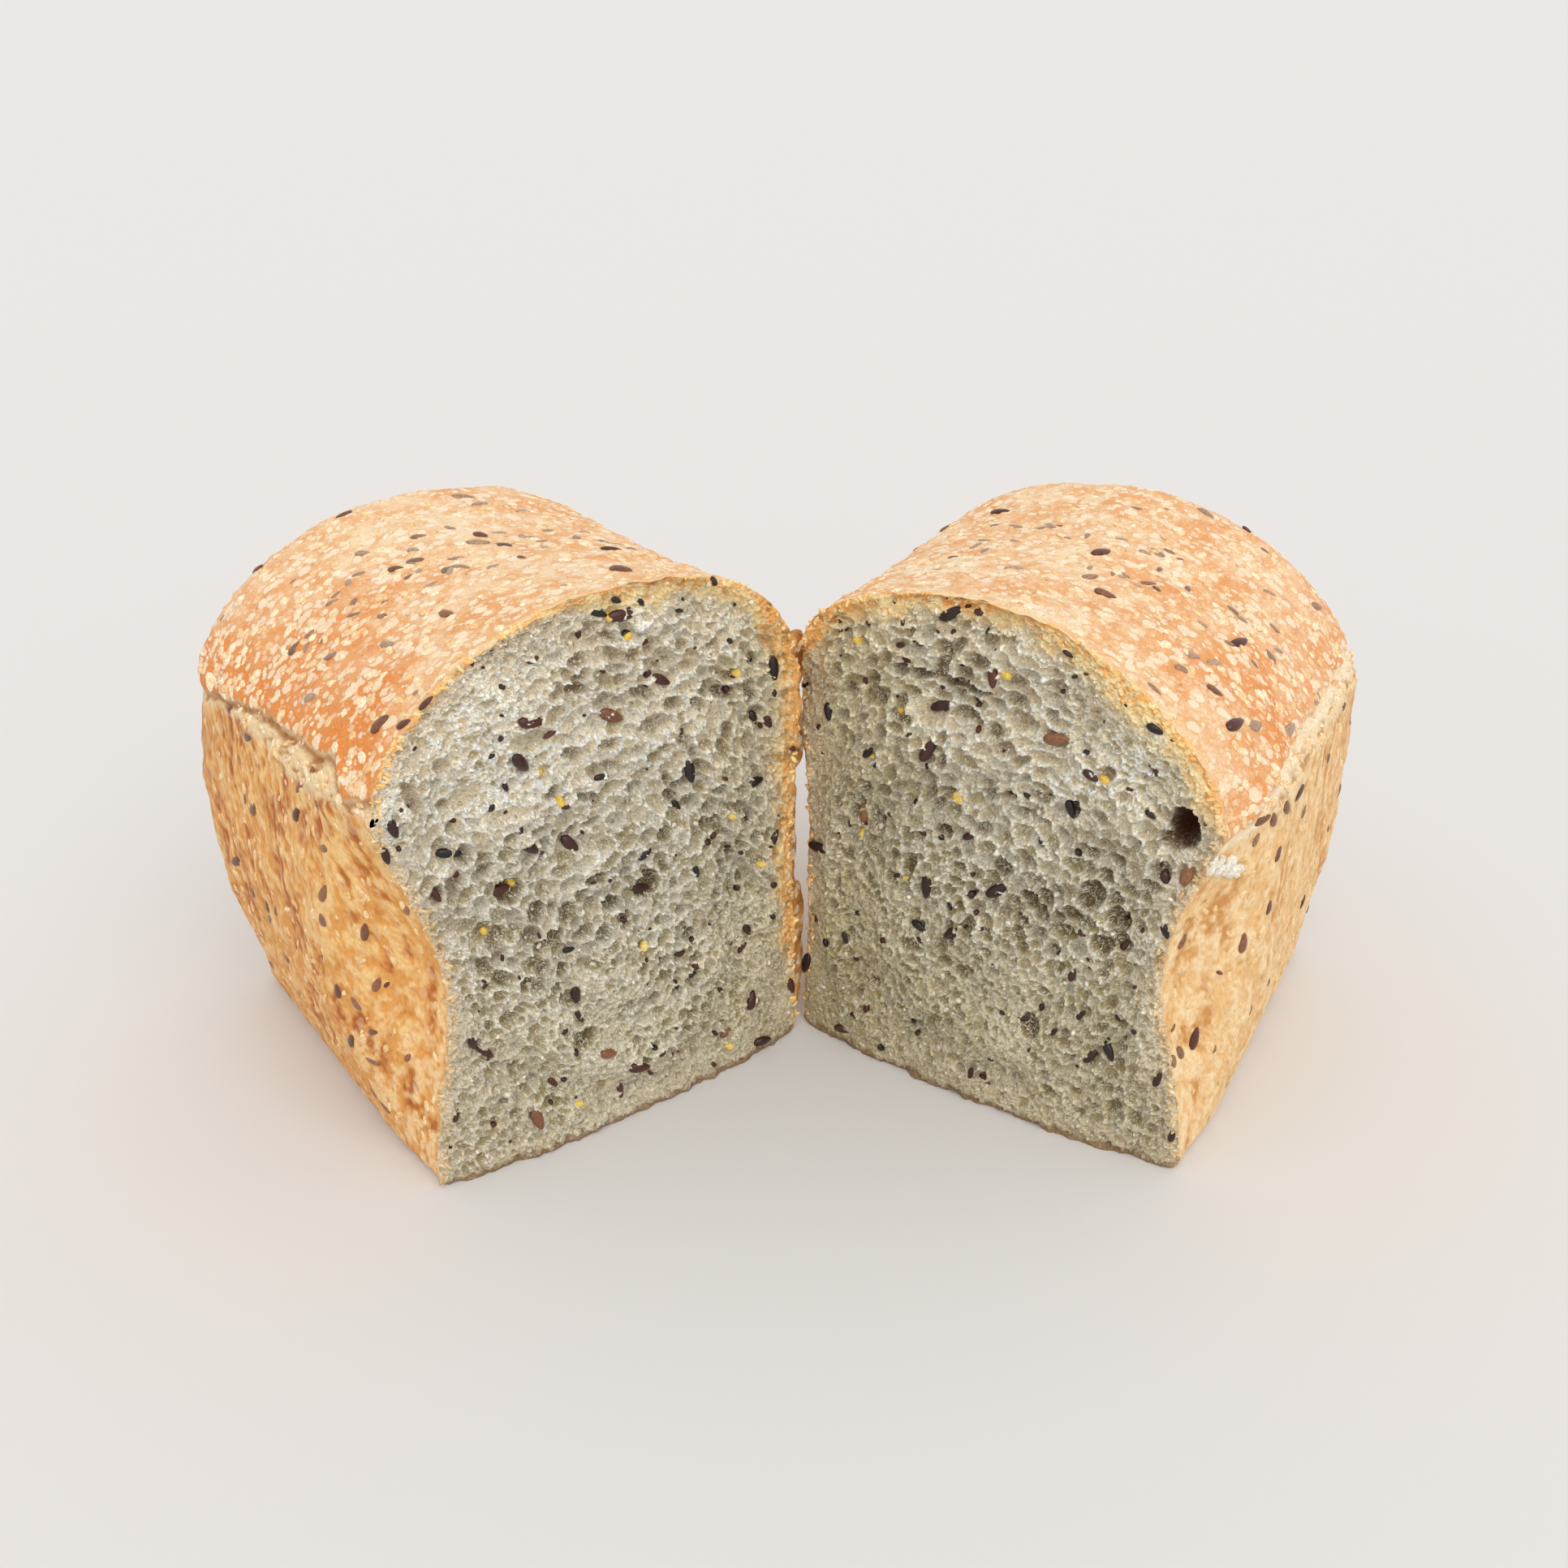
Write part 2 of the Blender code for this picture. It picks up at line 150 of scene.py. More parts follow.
def side_profile(half, outer, row, deep):
    """Across and height of one side: row 0 to 1 climbs the wall, row 1 to 2 goes over the dome.

    The wall leans out, bows between foot and tin rim, and is drawn in beside the
    torn face. The dome is a quarter of a superellipse.
    """
    row, deep = np.broadcast_arrays(np.asarray(row, float), np.asarray(deep, float))
    spring = half["spring_outer"] if outer else half["spring_hinge"]
    waist = half["waist_outer"] if outer else WAIST_HINGE
    lean = half["wall_lean"] if outer else HINGE_LEAN
    power = half["dome_outer"] if outer else half["dome_hinge"]
    high = spring * np.clip(row, 0, 1)
    near = np.exp(-((deep / WAIST_DEEP) ** 2))
    swell = lean * high
    swell = swell - waist * near * np.exp(-(((high - WAIST_HIGH) / half["waist_spread"]) ** 2))
    swell = swell + half["wall_bow"] * (1 - near) * np.sin(np.pi * np.clip(high / half["tin_rim"], 0, 1))
    foot = np.clip(1 - high / FOOT_ROUND, 0, 1)
    swell = swell - FOOT_ROUND * (1 - np.sqrt(np.clip(1 - foot * foot, 0, 1)))
    edge = half["width"] + swell if outer else -swell
    crest = half["width"] * half["crest_share"]
    settle = np.sin(0.5 * np.pi * np.clip(deep / LEVEL_DEEP, 0, 1))
    top = half["face_top"] + (half["back_top"] - half["face_top"]) * settle
    turn = 0.5 * np.pi * np.clip(row - 1, 0, 1)
    across = crest + (edge - crest) * np.clip(np.cos(turn), 0, 1) ** (2 / power)
    high = high + (top - spring) * np.sin(turn) ** (2 / power)
    return across, high


def bend(half, across, high, deep, relief=0.0):
    """Round the far end, push the surface out by its relief, then lean and skew the half."""
    rim = half["tin_rim"]
    corner = FOOT_CORNER + (half["wall_corner"] - FOOT_CORNER) * blend(high, 0, FOOT_CORNER_HIGH)
    rise = blend(high, rim, rim + DOME_CORNER_RISE)
    corner = corner + (half["dome_corner"] - half["wall_corner"]) * rise
    past = np.clip(deep - (half["length"] - corner), 0, corner)
    pull = corner - np.sqrt(np.clip(corner * corner - past * past, 0, None)) - relief
    out_across = across - half["width"] / 2
    out_high = high - rim / 2
    reach = np.maximum(np.hypot(out_across, out_high), 1e-6)
    across = across - out_across / reach * pull
    high = high - np.maximum(out_high, 0) / reach * pull
    share = deep / half["length"]
    climb = np.clip(high, 0, rim)
    middle = np.clip(1 - (2 * across / half["width"] - 1) ** 2, 0, 1)
    deep = deep + share * half["end_lean"] * climb
    deep = deep + half["end_bow"] * share**2 * np.sin(np.pi * climb / rim)
    deep = deep - half["face_bow"] * middle * np.clip(1 - share, 0, 1) ** 3
    across = across - math.tan(math.radians(half["skew"])) * deep
    return np.stack([across, deep, high], axis=-1)


def crust_lumps(half, across, high, deep):
    """Crust relief on a large scale: calmer lumps than the solid's, and its band at the tin's rim."""
    tone = half["pattern"]
    lumps = np.sin(0.31 * across + 0.17 * deep + tone)
    lumps = lumps * np.sin(0.23 * high - 0.29 * deep + 1.3 * tone)
    lumps = lumps + 0.6 * np.sin(0.52 * deep + 0.41 * high + tone) * np.sin(0.47 * across - tone)
    ragged = half["tin_rim"] + 1.6 * np.sin(0.35 * deep + tone) + 0.9 * np.sin(0.83 * deep)
    band = np.exp(-(((high - ragged) / RIM_BAND_HALF) ** 2))
    calm = blend(deep, 1.0, 7.0) * blend(high, 2.0, 10.0)
    return calm * (CRUST_LUMP * lumps + RIM_BAND * band)


def crumb_lumps(half, across, high):
    """The solid's own crumb relief: soft lumps that follow the dome."""
    tone = half["pattern"]
    radius = np.hypot(across - 0.5 * half["width"], 0.9 * (high - 40.0))
    lumps = np.sin(0.36 * radius + 0.7 * np.sin(0.13 * across + tone))
    lumps = lumps + 0.8 * np.sin(0.27 * across - 0.19 * high + tone) * np.sin(0.24 * high + tone)
    return CRUMB_LUMP * lumps


def to_world(half, points):
    """Turn points of a half into millimetres of the whole loaf."""
    turn = math.radians(half["turn"])
    along = np.array([half["hand"] * math.cos(turn), -math.sin(turn), 0])
    back = np.array([half["hand"] * math.sin(turn), math.cos(turn), 0])
    start = np.array([*half["hinge"], 0])
    up = np.array([0, 0, 1.0])
    return start + points[..., :1] * along + points[..., 1:2] * back + points[..., 2:] * up


# %% [markdown]
# ## Helpers for grids
#
# A few small tools do most of the work. Two give smooth random hills and small
# round pits, which is what makes baked things uneven. Two turn a grid or a tube of
# points into a mesh with its colours. One measures which way a grid faces, so that
# seeds can lie flat on it. Hills from a lattice are used instead of Blender's noise
# textures, because a whole numpy grid can be worked out with them in one go.

# %% Noise, grids and normals
LATTICE = 97


def hills(x, y, size, seed):
    """Smooth random hills from -1 to 1: random heights on a square lattice, eased between its corners."""
    lattice = np.random.default_rng(seed).uniform(-1, 1, (LATTICE, LATTICE))
    cell_x, cell_y = np.floor(x / size), np.floor(y / size)
    ease_x, ease_y = x / size - cell_x, y / size - cell_y
    ease_x, ease_y = ease_x**2 * (3 - 2 * ease_x), ease_y**2 * (3 - 2 * ease_y)
    i, j = cell_x.astype(int) % LATTICE, cell_y.astype(int) % LATTICE
    next_i, next_j = (i + 1) % LATTICE, (j + 1) % LATTICE
    low = lattice[i, j] * (1 - ease_x) + lattice[next_i, j] * ease_x
    high = lattice[i, next_j] * (1 - ease_x) + lattice[next_i, next_j] * ease_x
    return low * (1 - ease_y) + high * ease_y


def rough(x, y, size, seed, octaves=3):
    """Hills on hills: each octave has half the size and half the height of the one before."""
    return sum(hills(x, y, size / 2**k, seed + k) / 2**k for k in range(octaves))


def pits(x, y, size, seed):
    """Small round pits, one to a square cell: root of 1 - (distance / radius)^2, the deepest one wins."""
    draw = np.random.default_rng(seed)
    spot_x, spot_y = draw.uniform(0.1, 0.9, (2, LATTICE, LATTICE))
    radius = draw.uniform(0.35, 0.80, (LATTICE, LATTICE))
    cell_x, cell_y = np.floor(x / size), np.floor(y / size)
    deepest = np.zeros(x.shape)
    for step_x in (-1, 0, 1):
        for step_y in (-1, 0, 1):
            i, j = (cell_x + step_x).astype(int) % LATTICE, (cell_y + step_y).astype(int) % LATTICE
            away_x = x / size - cell_x - step_x - spot_x[i, j]
            away_y = y / size - cell_y - step_y - spot_y[i, j]
            deepest = np.maximum(deepest, 1 - (away_x**2 + away_y**2) / radius[i, j] ** 2)
    return np.sqrt(deepest)


def mix(first, second, share):
    """Mix two colours, or arrays of colours, by an array of shares."""
    share = np.asarray(share)[..., None]
    return np.asarray(first) * (1 - share) + np.asarray(second) * share


def linear(red, green, blue):
    """A colour as a screen shows it (0 to 255), turned into linear light."""
    screen = np.array([red, green, blue]) / 255
    return np.where(screen <= 0.04045, screen / 12.92, ((screen + 0.055) / 1.055) ** 2.4)


def facing(points):
    """Unit normals of a grid: the cross product of its two directions."""
    normal = np.cross(np.gradient(points, axis=0), np.gradient(points, axis=1))
    return normal / np.maximum(np.linalg.norm(normal, axis=-1, keepdims=True), 1e-9)


def make_mesh(name, vertices, faces, colours=None, surface=None):
    """A smooth mesh object from millimetre points kept inside the solid's box, with a colour and
    surface coordinates for each vertex."""
    mesh = bpy.data.meshes.new(name)
    inside_box = np.clip(vertices * MM, cad_box[0], cad_box[1])
    mesh.vertices.add(len(vertices))
    mesh.vertices.foreach_set("co", inside_box.astype(np.float32).ravel())
    mesh.loops.add(faces.size)
    mesh.loops.foreach_set("vertex_index", faces.astype(np.int32).ravel())
    mesh.polygons.add(len(faces))
    mesh.polygons.foreach_set("loop_start", np.arange(len(faces), dtype=np.int32) * faces.shape[1])
    mesh.update(calc_edges=True)
    mesh.validate()
    mesh.shade_smooth()
    if colours is not None:
        layer = mesh.color_attributes.new("tone", "FLOAT_COLOR", "POINT")
        tone = np.ones((len(vertices), 4))
        tone[:, : colours.shape[1]] = np.clip(colours, 0, 1)
        layer.data.foreach_set("color", tone.astype(np.float32).ravel())
    if surface is not None:
        layer = mesh.attributes.new("surface", "FLOAT_VECTOR", "POINT")
        padded = np.concatenate([surface, np.zeros((len(vertices), 3 - surface.shape[1]))], axis=1)
        layer.data.foreach_set("vector", (padded * MM).astype(np.float32).ravel())
    thing = bpy.data.objects.new(name, mesh)
    bpy.context.scene.collection.objects.link(thing)
    print(name, "-", len(vertices), "points,", len(faces) * (faces.shape[1] - 2), "triangles")
    return thing


def grid_object(name, points, inside, colours=None, surface=None):
    """A grid of points as a mesh object whose faces look away from a point inside the bread."""
    rows, columns = points.shape[:2]
    index = np.arange(rows * columns).reshape(rows, columns)
    corners = (index[:-1, :-1], index[1:, :-1], index[1:, 1:], index[:-1, 1:])
    quads = np.stack(corners, axis=-1).reshape(-1, 4)
    if np.sum(facing(points) * (points - inside)) < 0:
        quads = quads[:, ::-1]
    flat = None if colours is None else colours.reshape(rows * columns, -1)
    own = None if surface is None else surface.reshape(rows * columns, -1)
    return make_mesh(name, points.reshape(-1, 3), quads, flat, own)


def tube_faces(rings, around):
    """Triangles of a closed tube whose points are a first tip, rings of points, and a last tip."""
    index = 1 + np.arange(rings * around).reshape(rings, around)
    after = np.roll(index, -1, axis=1)
    a, b, c, d = index[:-1], after[:-1], after[1:], index[1:]
    sides = np.concatenate([np.stack([a, c, b], -1).reshape(-1, 3), np.stack([a, d, c], -1).reshape(-1, 3)])
    first_cap = np.stack([np.zeros_like(index[0]), index[0], after[0]], -1)
    last_cap = np.stack([np.full_like(index[-1], rings * around + 1), after[-1], index[-1]], -1)
    return np.concatenate([sides, first_cap, last_cap])


def middle_of(half):
    """A point deep inside a half."""
    return to_world(half, np.array([0.5 * half["width"], 0.5 * half["length"], 0.5 * half["tin_rim"]]))


# %% [markdown]
# ## Crumb: a foam cut open
#
# Bread crumb is a foam. When it is torn, thousands of bubbles are left cut open as
# little bowls, with thin bright walls between them. A shader bump can't give such
# deep bowls, and modelling each one as a mesh would be far too heavy, so the foam
# is worked out as a map of depths: big bubbles are dropped first, smaller ones fill
# the room that is left, and each bowl is the lower part of an ellipsoid. Bubbles
# stretch along the dome, because the dough was rolled up before it was baked.

# %% Foam map
FOAM_PITCH = 0.125
# How far the map starts beside the foot's corner, and how much wider than the foot it is.
MARGIN, WIDER = 2, 12
EDGE_STRIDE = 8
BUBBLE_SMALLEST, BUBBLE_LARGEST, BUBBLE_POWER = 0.42, 2.7, 1.75
BUBBLE_TRIES = 60000
# A bubble is dropped when more than this share of it is already open.
CROWDED_LARGE, CROWDED_SMALL = 0.30, 0.48
SMALL_UNDER, ALWAYS_KEPT = 1.3, 2.9
SWIRL_HIGH = 42.0

# Burst bubbles that stand out: across, high, half width, half height, depth, tilt in degrees.
BIG_BUBBLES = {
    "left": (
        (68, 62, 3.0, 3.0, 4.2, 0), (39, 54, 3.5, 3.2, 4.4, 20), (36, 88, 4.4, 2.4, 2.4, 0),
        (55, 25, 3.6, 2.4, 2.8, 0), (84, 86, 1.6, 4.4, 2.4, -20), (74, 84, 4.4, 2.3, 1.5, -35),
        (61, 92, 5.0, 2.4, 2.0, 10), (49, 77, 2.2, 1.7, 2.6, 0), (33, 96, 4.0, 2.0, 1.5, -15),
        (22, 84, 1.8, 4.8, 1.5, 5), (63, 49, 2.1, 2.2, 2.4, 0), (47, 107, 3.0, 1.2, 2.0, 0),
        (67, 79, 5.4, 1.9, 1.3, 0), (58, 35, 2.4, 2.0, 2.0, 0), (70, 34, 2.0, 2.4, 2.2, 0),
        (28, 62, 1.7, 4.4, 2.0, 0), (42, 70, 3.0, 1.7, 1.6, 0), (52, 54, 2.0, 2.2, 2.0, 0),
    ),
    "right": (
        (36, 94, 8.2, 1.7, 4.0, -4), (82, 76, 2.8, 5.2, 6.0, 12), (61, 75, 1.9, 2.4, 3.2, 0),
        (67, 58, 2.8, 3.7, 4.2, 10), (57, 24, 2.6, 2.8, 3.0, 0), (67, 84, 1.9, 1.7, 2.2, 0),
        (34, 104, 4.4, 1.2, 1.4, -6), (50, 90, 3.7, 2.1, 2.2, 0), (31, 86, 3.5, 3.0, 1.5, 20),
        (24, 76, 1.5, 3.2, 2.2, 0), (20, 58, 1.4, 4.0, 2.2, 0), (28, 52, 1.5, 3.5, 2.4, 0),
        (56, 84, 4.5, 1.7, 1.8, -8), (13, 102, 2.5, 2.0, 1.8, 40), (42, 42, 1.7, 3.0, 2.2, -10),
        (58, 62, 2.5, 1.8, 1.4, 0), (36, 36, 2.0, 3.2, 2.0, -15), (74, 66, 2.0, 2.5, 1.6, 0),
    ),
}


def outline_distance(half, across, high, deep=0.0):
    """Distance from points of the torn face to its outline."""
    row = np.linspace(0, 2, 400)
    outer = np.stack(side_profile(half, True, row, deep), axis=-1)
    hinge = np.stack(side_profile(half, False, row, deep), axis=-1)
    base = np.stack([np.linspace(0, half["width"], 250), np.zeros(250)], axis=-1)
    outline = np.concatenate([outer, hinge, base])
    nearest = np.full(across.shape, 1e9)
    for point in outline:
        nearest = np.minimum(nearest, (across - point[0]) ** 2 + (high - point[1]) ** 2)
    return np.sqrt(nearest)


def bubble_list(half, draw, edge_map, shape):
    """Centres, half sizes, depths, turns and tints of all bubbles, large ones first."""
    big = [(x, z, w, h, d, math.radians(t), 0.6) for x, z, w, h, d, t in BIG_BUBBLES[half["name"]]]
    share = draw.uniform(0, 1, BUBBLE_TRIES)
    ratio = (BUBBLE_SMALLEST / BUBBLE_LARGEST) ** BUBBLE_POWER
    radius = BUBBLE_SMALLEST * (1 - share * (1 - ratio)) ** (-1 / BUBBLE_POWER)
    x = draw.uniform(-MARGIN, shape[1] * FOAM_PITCH - MARGIN, BUBBLE_TRIES)
    z = draw.uniform(0, shape[0] * FOAM_PITCH, BUBBLE_TRIES)
    row = np.clip(z / FOAM_PITCH, 0, shape[0] - 1).astype(int)
    column = np.clip((x + MARGIN) / FOAM_PITCH, 0, shape[1] - 1).astype(int)
    coarse = 0.75 + 0.35 * hills(x, z, 17.0, 3)
    finer_at_edge = 0.50 + 0.50 * blend(edge_map[row, column], 1.0, 11.0)
    finer_low_down = 0.78 + 0.22 * blend(z, 20, 60)
    radius = np.maximum(radius * finer_at_edge * finer_low_down * coarse, 0.28)
    stretch = 1.0 + (0.30 + 0.80 * blend(z, 45, 80)) * draw.uniform(0.1, 1.0, BUBBLE_TRIES)
    swirl = np.arctan2(z - SWIRL_HIGH, x - 0.5 * half["width"]) + 0.5 * np.pi
    swirl = swirl + draw.normal(0, 0.40, BUBBLE_TRIES)
    deep = radius * draw.uniform(0.75, 1.35, BUBBLE_TRIES)
    tint = draw.uniform(0, 1, BUBBLE_TRIES)
    long, short = radius * np.sqrt(stretch), radius / np.sqrt(stretch)
    small = np.stack([x, z, long, short, deep, swirl, tint], axis=-1)
    return big + [tuple(line) for line in small[np.argsort(-radius)]]


def foam(half, seed):
    """Maps of bowl depth and bubble tint over a torn face.

    Each bowl is its depth times the root of 1 - u^2 - v^2, where u and v are the
    distances along and across the bubble as shares of its half sizes.
    """
    draw = np.random.default_rng(seed)
    shape = (int((half["face_top"] + MARGIN) / FOAM_PITCH), int((half["width"] + WIDER) / FOAM_PITCH))
    high, across = np.mgrid[0 : shape[0], 0 : shape[1]] * FOAM_PITCH
    across = across - MARGIN
    sparse = (slice(None, None, EDGE_STRIDE), slice(None, None, EDGE_STRIDE))
    edge_map = outline_distance(half, across[sparse], high[sparse])
    edge_map = np.repeat(np.repeat(edge_map, EDGE_STRIDE, axis=0), EDGE_STRIDE, axis=1)
    depth, tint, used = np.zeros(shape), np.zeros(shape), np.zeros(shape, bool)
    kept = 0
    for x, z, long, short, deep, turn, colour in bubble_list(half, draw, edge_map, shape):
        column, row = int((x + MARGIN) / FOAM_PITCH), int(z / FOAM_PITCH)
        if not (0 <= row < shape[0] and 0 <= column < shape[1]) or used[row, column]:
            continue
        reach = int(max(long, short) / FOAM_PITCH) + 2
        top, left = max(row - reach, 0), max(column - reach, 0)
        window = (slice(top, row + reach + 1), slice(left, column + reach + 1))
        dx, dz = across[window] - x, high[window] - z
        u = (dx * math.cos(turn) + dz * math.sin(turn)) / long
        v = (-dx * math.sin(turn) + dz * math.cos(turn)) / short
        inside = 1 - u * u - v * v
        crowd = CROWDED_SMALL if long < SMALL_UNDER else CROWDED_LARGE
        if long < ALWAYS_KEPT and used[window][inside > 0].mean() > crowd:
            continue
        kept += 1
        bowl = deep * (np.sqrt(np.clip(inside, 0, 1)) - draw.uniform(0.0, 0.12))
        deeper = (inside > 0) & (bowl > depth[window])
        depth[window] = np.where(deeper, bowl, depth[window])
        tint[window] = np.where(deeper, colour, tint[window])
        used[window] |= inside > 0.08
    print(half["name"], "crumb:", kept, "bubbles,", round(float(used.mean()), 2), "of the map is open")
    return depth, tint


def soften(chart, steps):
    """A map blurred by averaging it with its neighbours, a few times over."""
    for _ in range(steps):
        chart = (np.roll(chart, 1, 0) + np.roll(chart, -1, 0) + 2 * chart) / 4
        chart = (np.roll(chart, 1, 1) + np.roll(chart, -1, 1) + 2 * chart) / 4
    return chart


def read_map(chart, across, high):
    """Read a map at points, blended between its cells."""
    x = np.clip((across + MARGIN) / FOAM_PITCH, 0, chart.shape[1] - 1.001)
    z = np.clip(high / FOAM_PITCH, 0, chart.shape[0] - 1.001)
    i, j = z.astype(int), x.astype(int)
    fz, fx = z - i, x - j
    low = chart[i, j] * (1 - fx) + chart[i, j + 1] * fx
    top = chart[i + 1, j] * (1 - fx) + chart[i + 1, j + 1] * fx
    return low * (1 - fz) + top * fz


# %% [markdown]
# ## Torn faces
#
# A torn face is a grid of chords: each row runs from the hinge side to the outer
# side, and the rows climb from the foot to the crest. The foam's bowls are pushed
# in from that surface. The reading positions are shaken a little, so the bowls are
# no longer perfect ovals. The colour is decided here too: bright on the walls as
# painted light, olive grey down in the bowls as painted shade, darker low down,
# beside the hinge and over the right face as painted shade, and toasted in the band
# under the dome's crust. A fourth value beside the colour says how open the crumb
# is at each place, so that the material makes fewer pores and threads where it is
# baked.

# %% Torn faces
FACE_ROWS, FACE_COLUMNS = 500, 378
FOAM_LIFT = 0.60
PIT_DEEP = 0.42
# Depth over which the torn edge's wandering dies away.
CUT_FADE = 2.0
SHAKE, SHAKE_SIZE = 0.36, 1.6
DRIFT, DRIFT_SIZE = 0.8, 8.0
# Crumb tones: CRUMB_BRIGHT is painted light on the ridges. The bowl tints below it are partly each bubble's
# own tint and partly painted shade, because they are laid by depth.
CRUMB_BRIGHT = linear(255, 252, 242)
CRUMB_MID = linear(232, 220, 196)
CRUMB_BOWL = linear(202, 188, 160)
CRUMB_OLIVE = linear(174, 160, 118)
CRUMB_GREY = linear(206, 200, 184)
# Painted shade at the bottom of the deepest bowls.
CRUMB_DEEP_SHADE = linear(98, 78, 46)
CRUMB_AMBER = linear(250, 182, 96)
CRUMB_OCHRE = linear(168, 122, 62)
# Toasted tan under the crust; the right face's darker tan is painted shade.
CRUMB_TAN = {"left": linear(218, 190, 150), "right": linear(206, 178, 134)}
CRUST_EDGE = linear(255, 230, 172)
# Painted shade: a tint multiplied in, darker low down, beside the hinge and over the whole right face.
CRUMB_SHADE_TINT = np.array([0.81, 0.77, 0.62])
HOLE_BROWN = linear(62, 18, 9)
# Over which shares of the width, and over which heights, the amber rim of each face fades.
AMBER_FADES = {"left": (0.45, 0.75), "right": (0.85, 1.25)}
# Middle and half sizes of the hollow on the right face that is lined with brown.
LINED_ACROSS, LINED_HIGH, LINED_WIDE, LINED_TALL = 82, 76, 3.4, 5.6
AMBER_HINGE = {"left": (4, 30), "right": (74, 96)}
HINGE_AMBER = {"left": 4.8, "right": 1.4}
FOOT_BROWN = linear(120, 84, 48)
SHRED_PALE = linear(240, 216, 172)
SHRED_DARK = linear(186, 140, 88)


def edge_wave(half, across, high):
    """How far the torn edge of the crust wanders in and out."""
    seed = 31 + half["hand"]
    wave = 0.7 * hills(across, high, 4.0, seed) + 0.45 * hills(across, high, 1.5, seed + 10)
    return wave + 0.25 * hills(across, high, 0.8, seed + 20)


def face_rows(count):
    """Row values that climb the face in even steps of height."""
    lower = np.linspace(0, 1, int(count * 0.68))
    upper = 1 + np.arcsin(np.linspace(0, 1, count - len(lower) + 1)[1:] ** 0.85) / (0.5 * np.pi)
    return np.concatenate([lower, upper])


def torn_face(half, seed):
    """The fine surface of a torn face in two pieces, one above the other, and its points."""
    depth_map, tint_map = foam(half, seed)
    ridge_map = soften(depth_map, 10) - depth_map
    row, share = np.meshgrid(face_rows(FACE_ROWS), np.linspace(0, 1, FACE_COLUMNS), indexing="ij")
    hinge_across, hinge_high = side_profile(half, False, row, 0.0)
    outer_across, outer_high = side_profile(half, True, row, 0.0)
    across = hinge_across + (outer_across - hinge_across) * share
    high = hinge_high + (outer_high - hinge_high) * share
    edge = outline_distance(half, across, high)
    shaken_across = across + SHAKE * rough(across, high, SHAKE_SIZE, seed + 1)
    shaken_across = shaken_across + DRIFT * hills(across, high, DRIFT_SIZE, seed + 2)
    shaken_high = high + SHAKE * rough(across, high, SHAKE_SIZE, seed + 5)
    shaken_high = shaken_high + DRIFT * hills(across, high, DRIFT_SIZE, seed + 6)
    bowl = read_map(depth_map, shaken_across, shaken_high)
    tint = read_map(tint_map, shaken_across, shaken_high)
    ridge = read_map(ridge_map, shaken_across, shaken_high)
    points = bend(half, across, high, np.zeros(across.shape))
    inside = blend(share, 0, CRUMB_EDGE) * blend(1 - share, 0, CRUMB_EDGE)
    inside = inside * blend(row, 0, 0.12) * blend(2 - row, 0, 0.30)
    torn = 0.5 * rough(across, high, 6.0, seed + 12) + 0.10 * rough(across, high, 0.7, seed + 9)
    flakes = 0.9 * np.clip(rough(across, high, 1.1, seed + 16) - 0.25, 0, 1) * blend(ridge, -0.1, 0.4)
    pit = pits(shaken_across, shaken_high, 1.25, seed + 21)
    pit = pit * (0.7 + 0.3 * hills(across, high, 5.0, seed + 23))
    pit = np.maximum(pit, 0.7 * pits(shaken_high, shaken_across, 0.85, seed + 22))
    bowl = bowl + PIT_DEEP * pit
    ridge = ridge - 0.5 * PIT_DEEP * (pit - 0.4)
    lift = inside * crumb_lumps(half, across, high)
    points[..., 1] -= lift + blend(edge, 0.12, 0.9) * (FOAM_LIFT + torn + flakes - bowl)
    points[..., 1] += edge_wave(half, across, high) * np.exp(-edge / CUT_FADE)
    colour = crumb_colour(half, across, high, row, edge, bowl, tint, ridge, seed)
    surface = np.stack([across, high], axis=-1)
    placed = to_world(half, points)
    split = FACE_ROWS // 2
    pieces = []
    for part, lines in (("low", slice(0, split + 1)), ("high", slice(split, FACE_ROWS))):
        name = f"torn_face_{half['name']}_{part}"
        pieces.append(grid_object(name, placed[lines], middle_of(half), colour[lines], surface[lines]))
    return pieces, placed


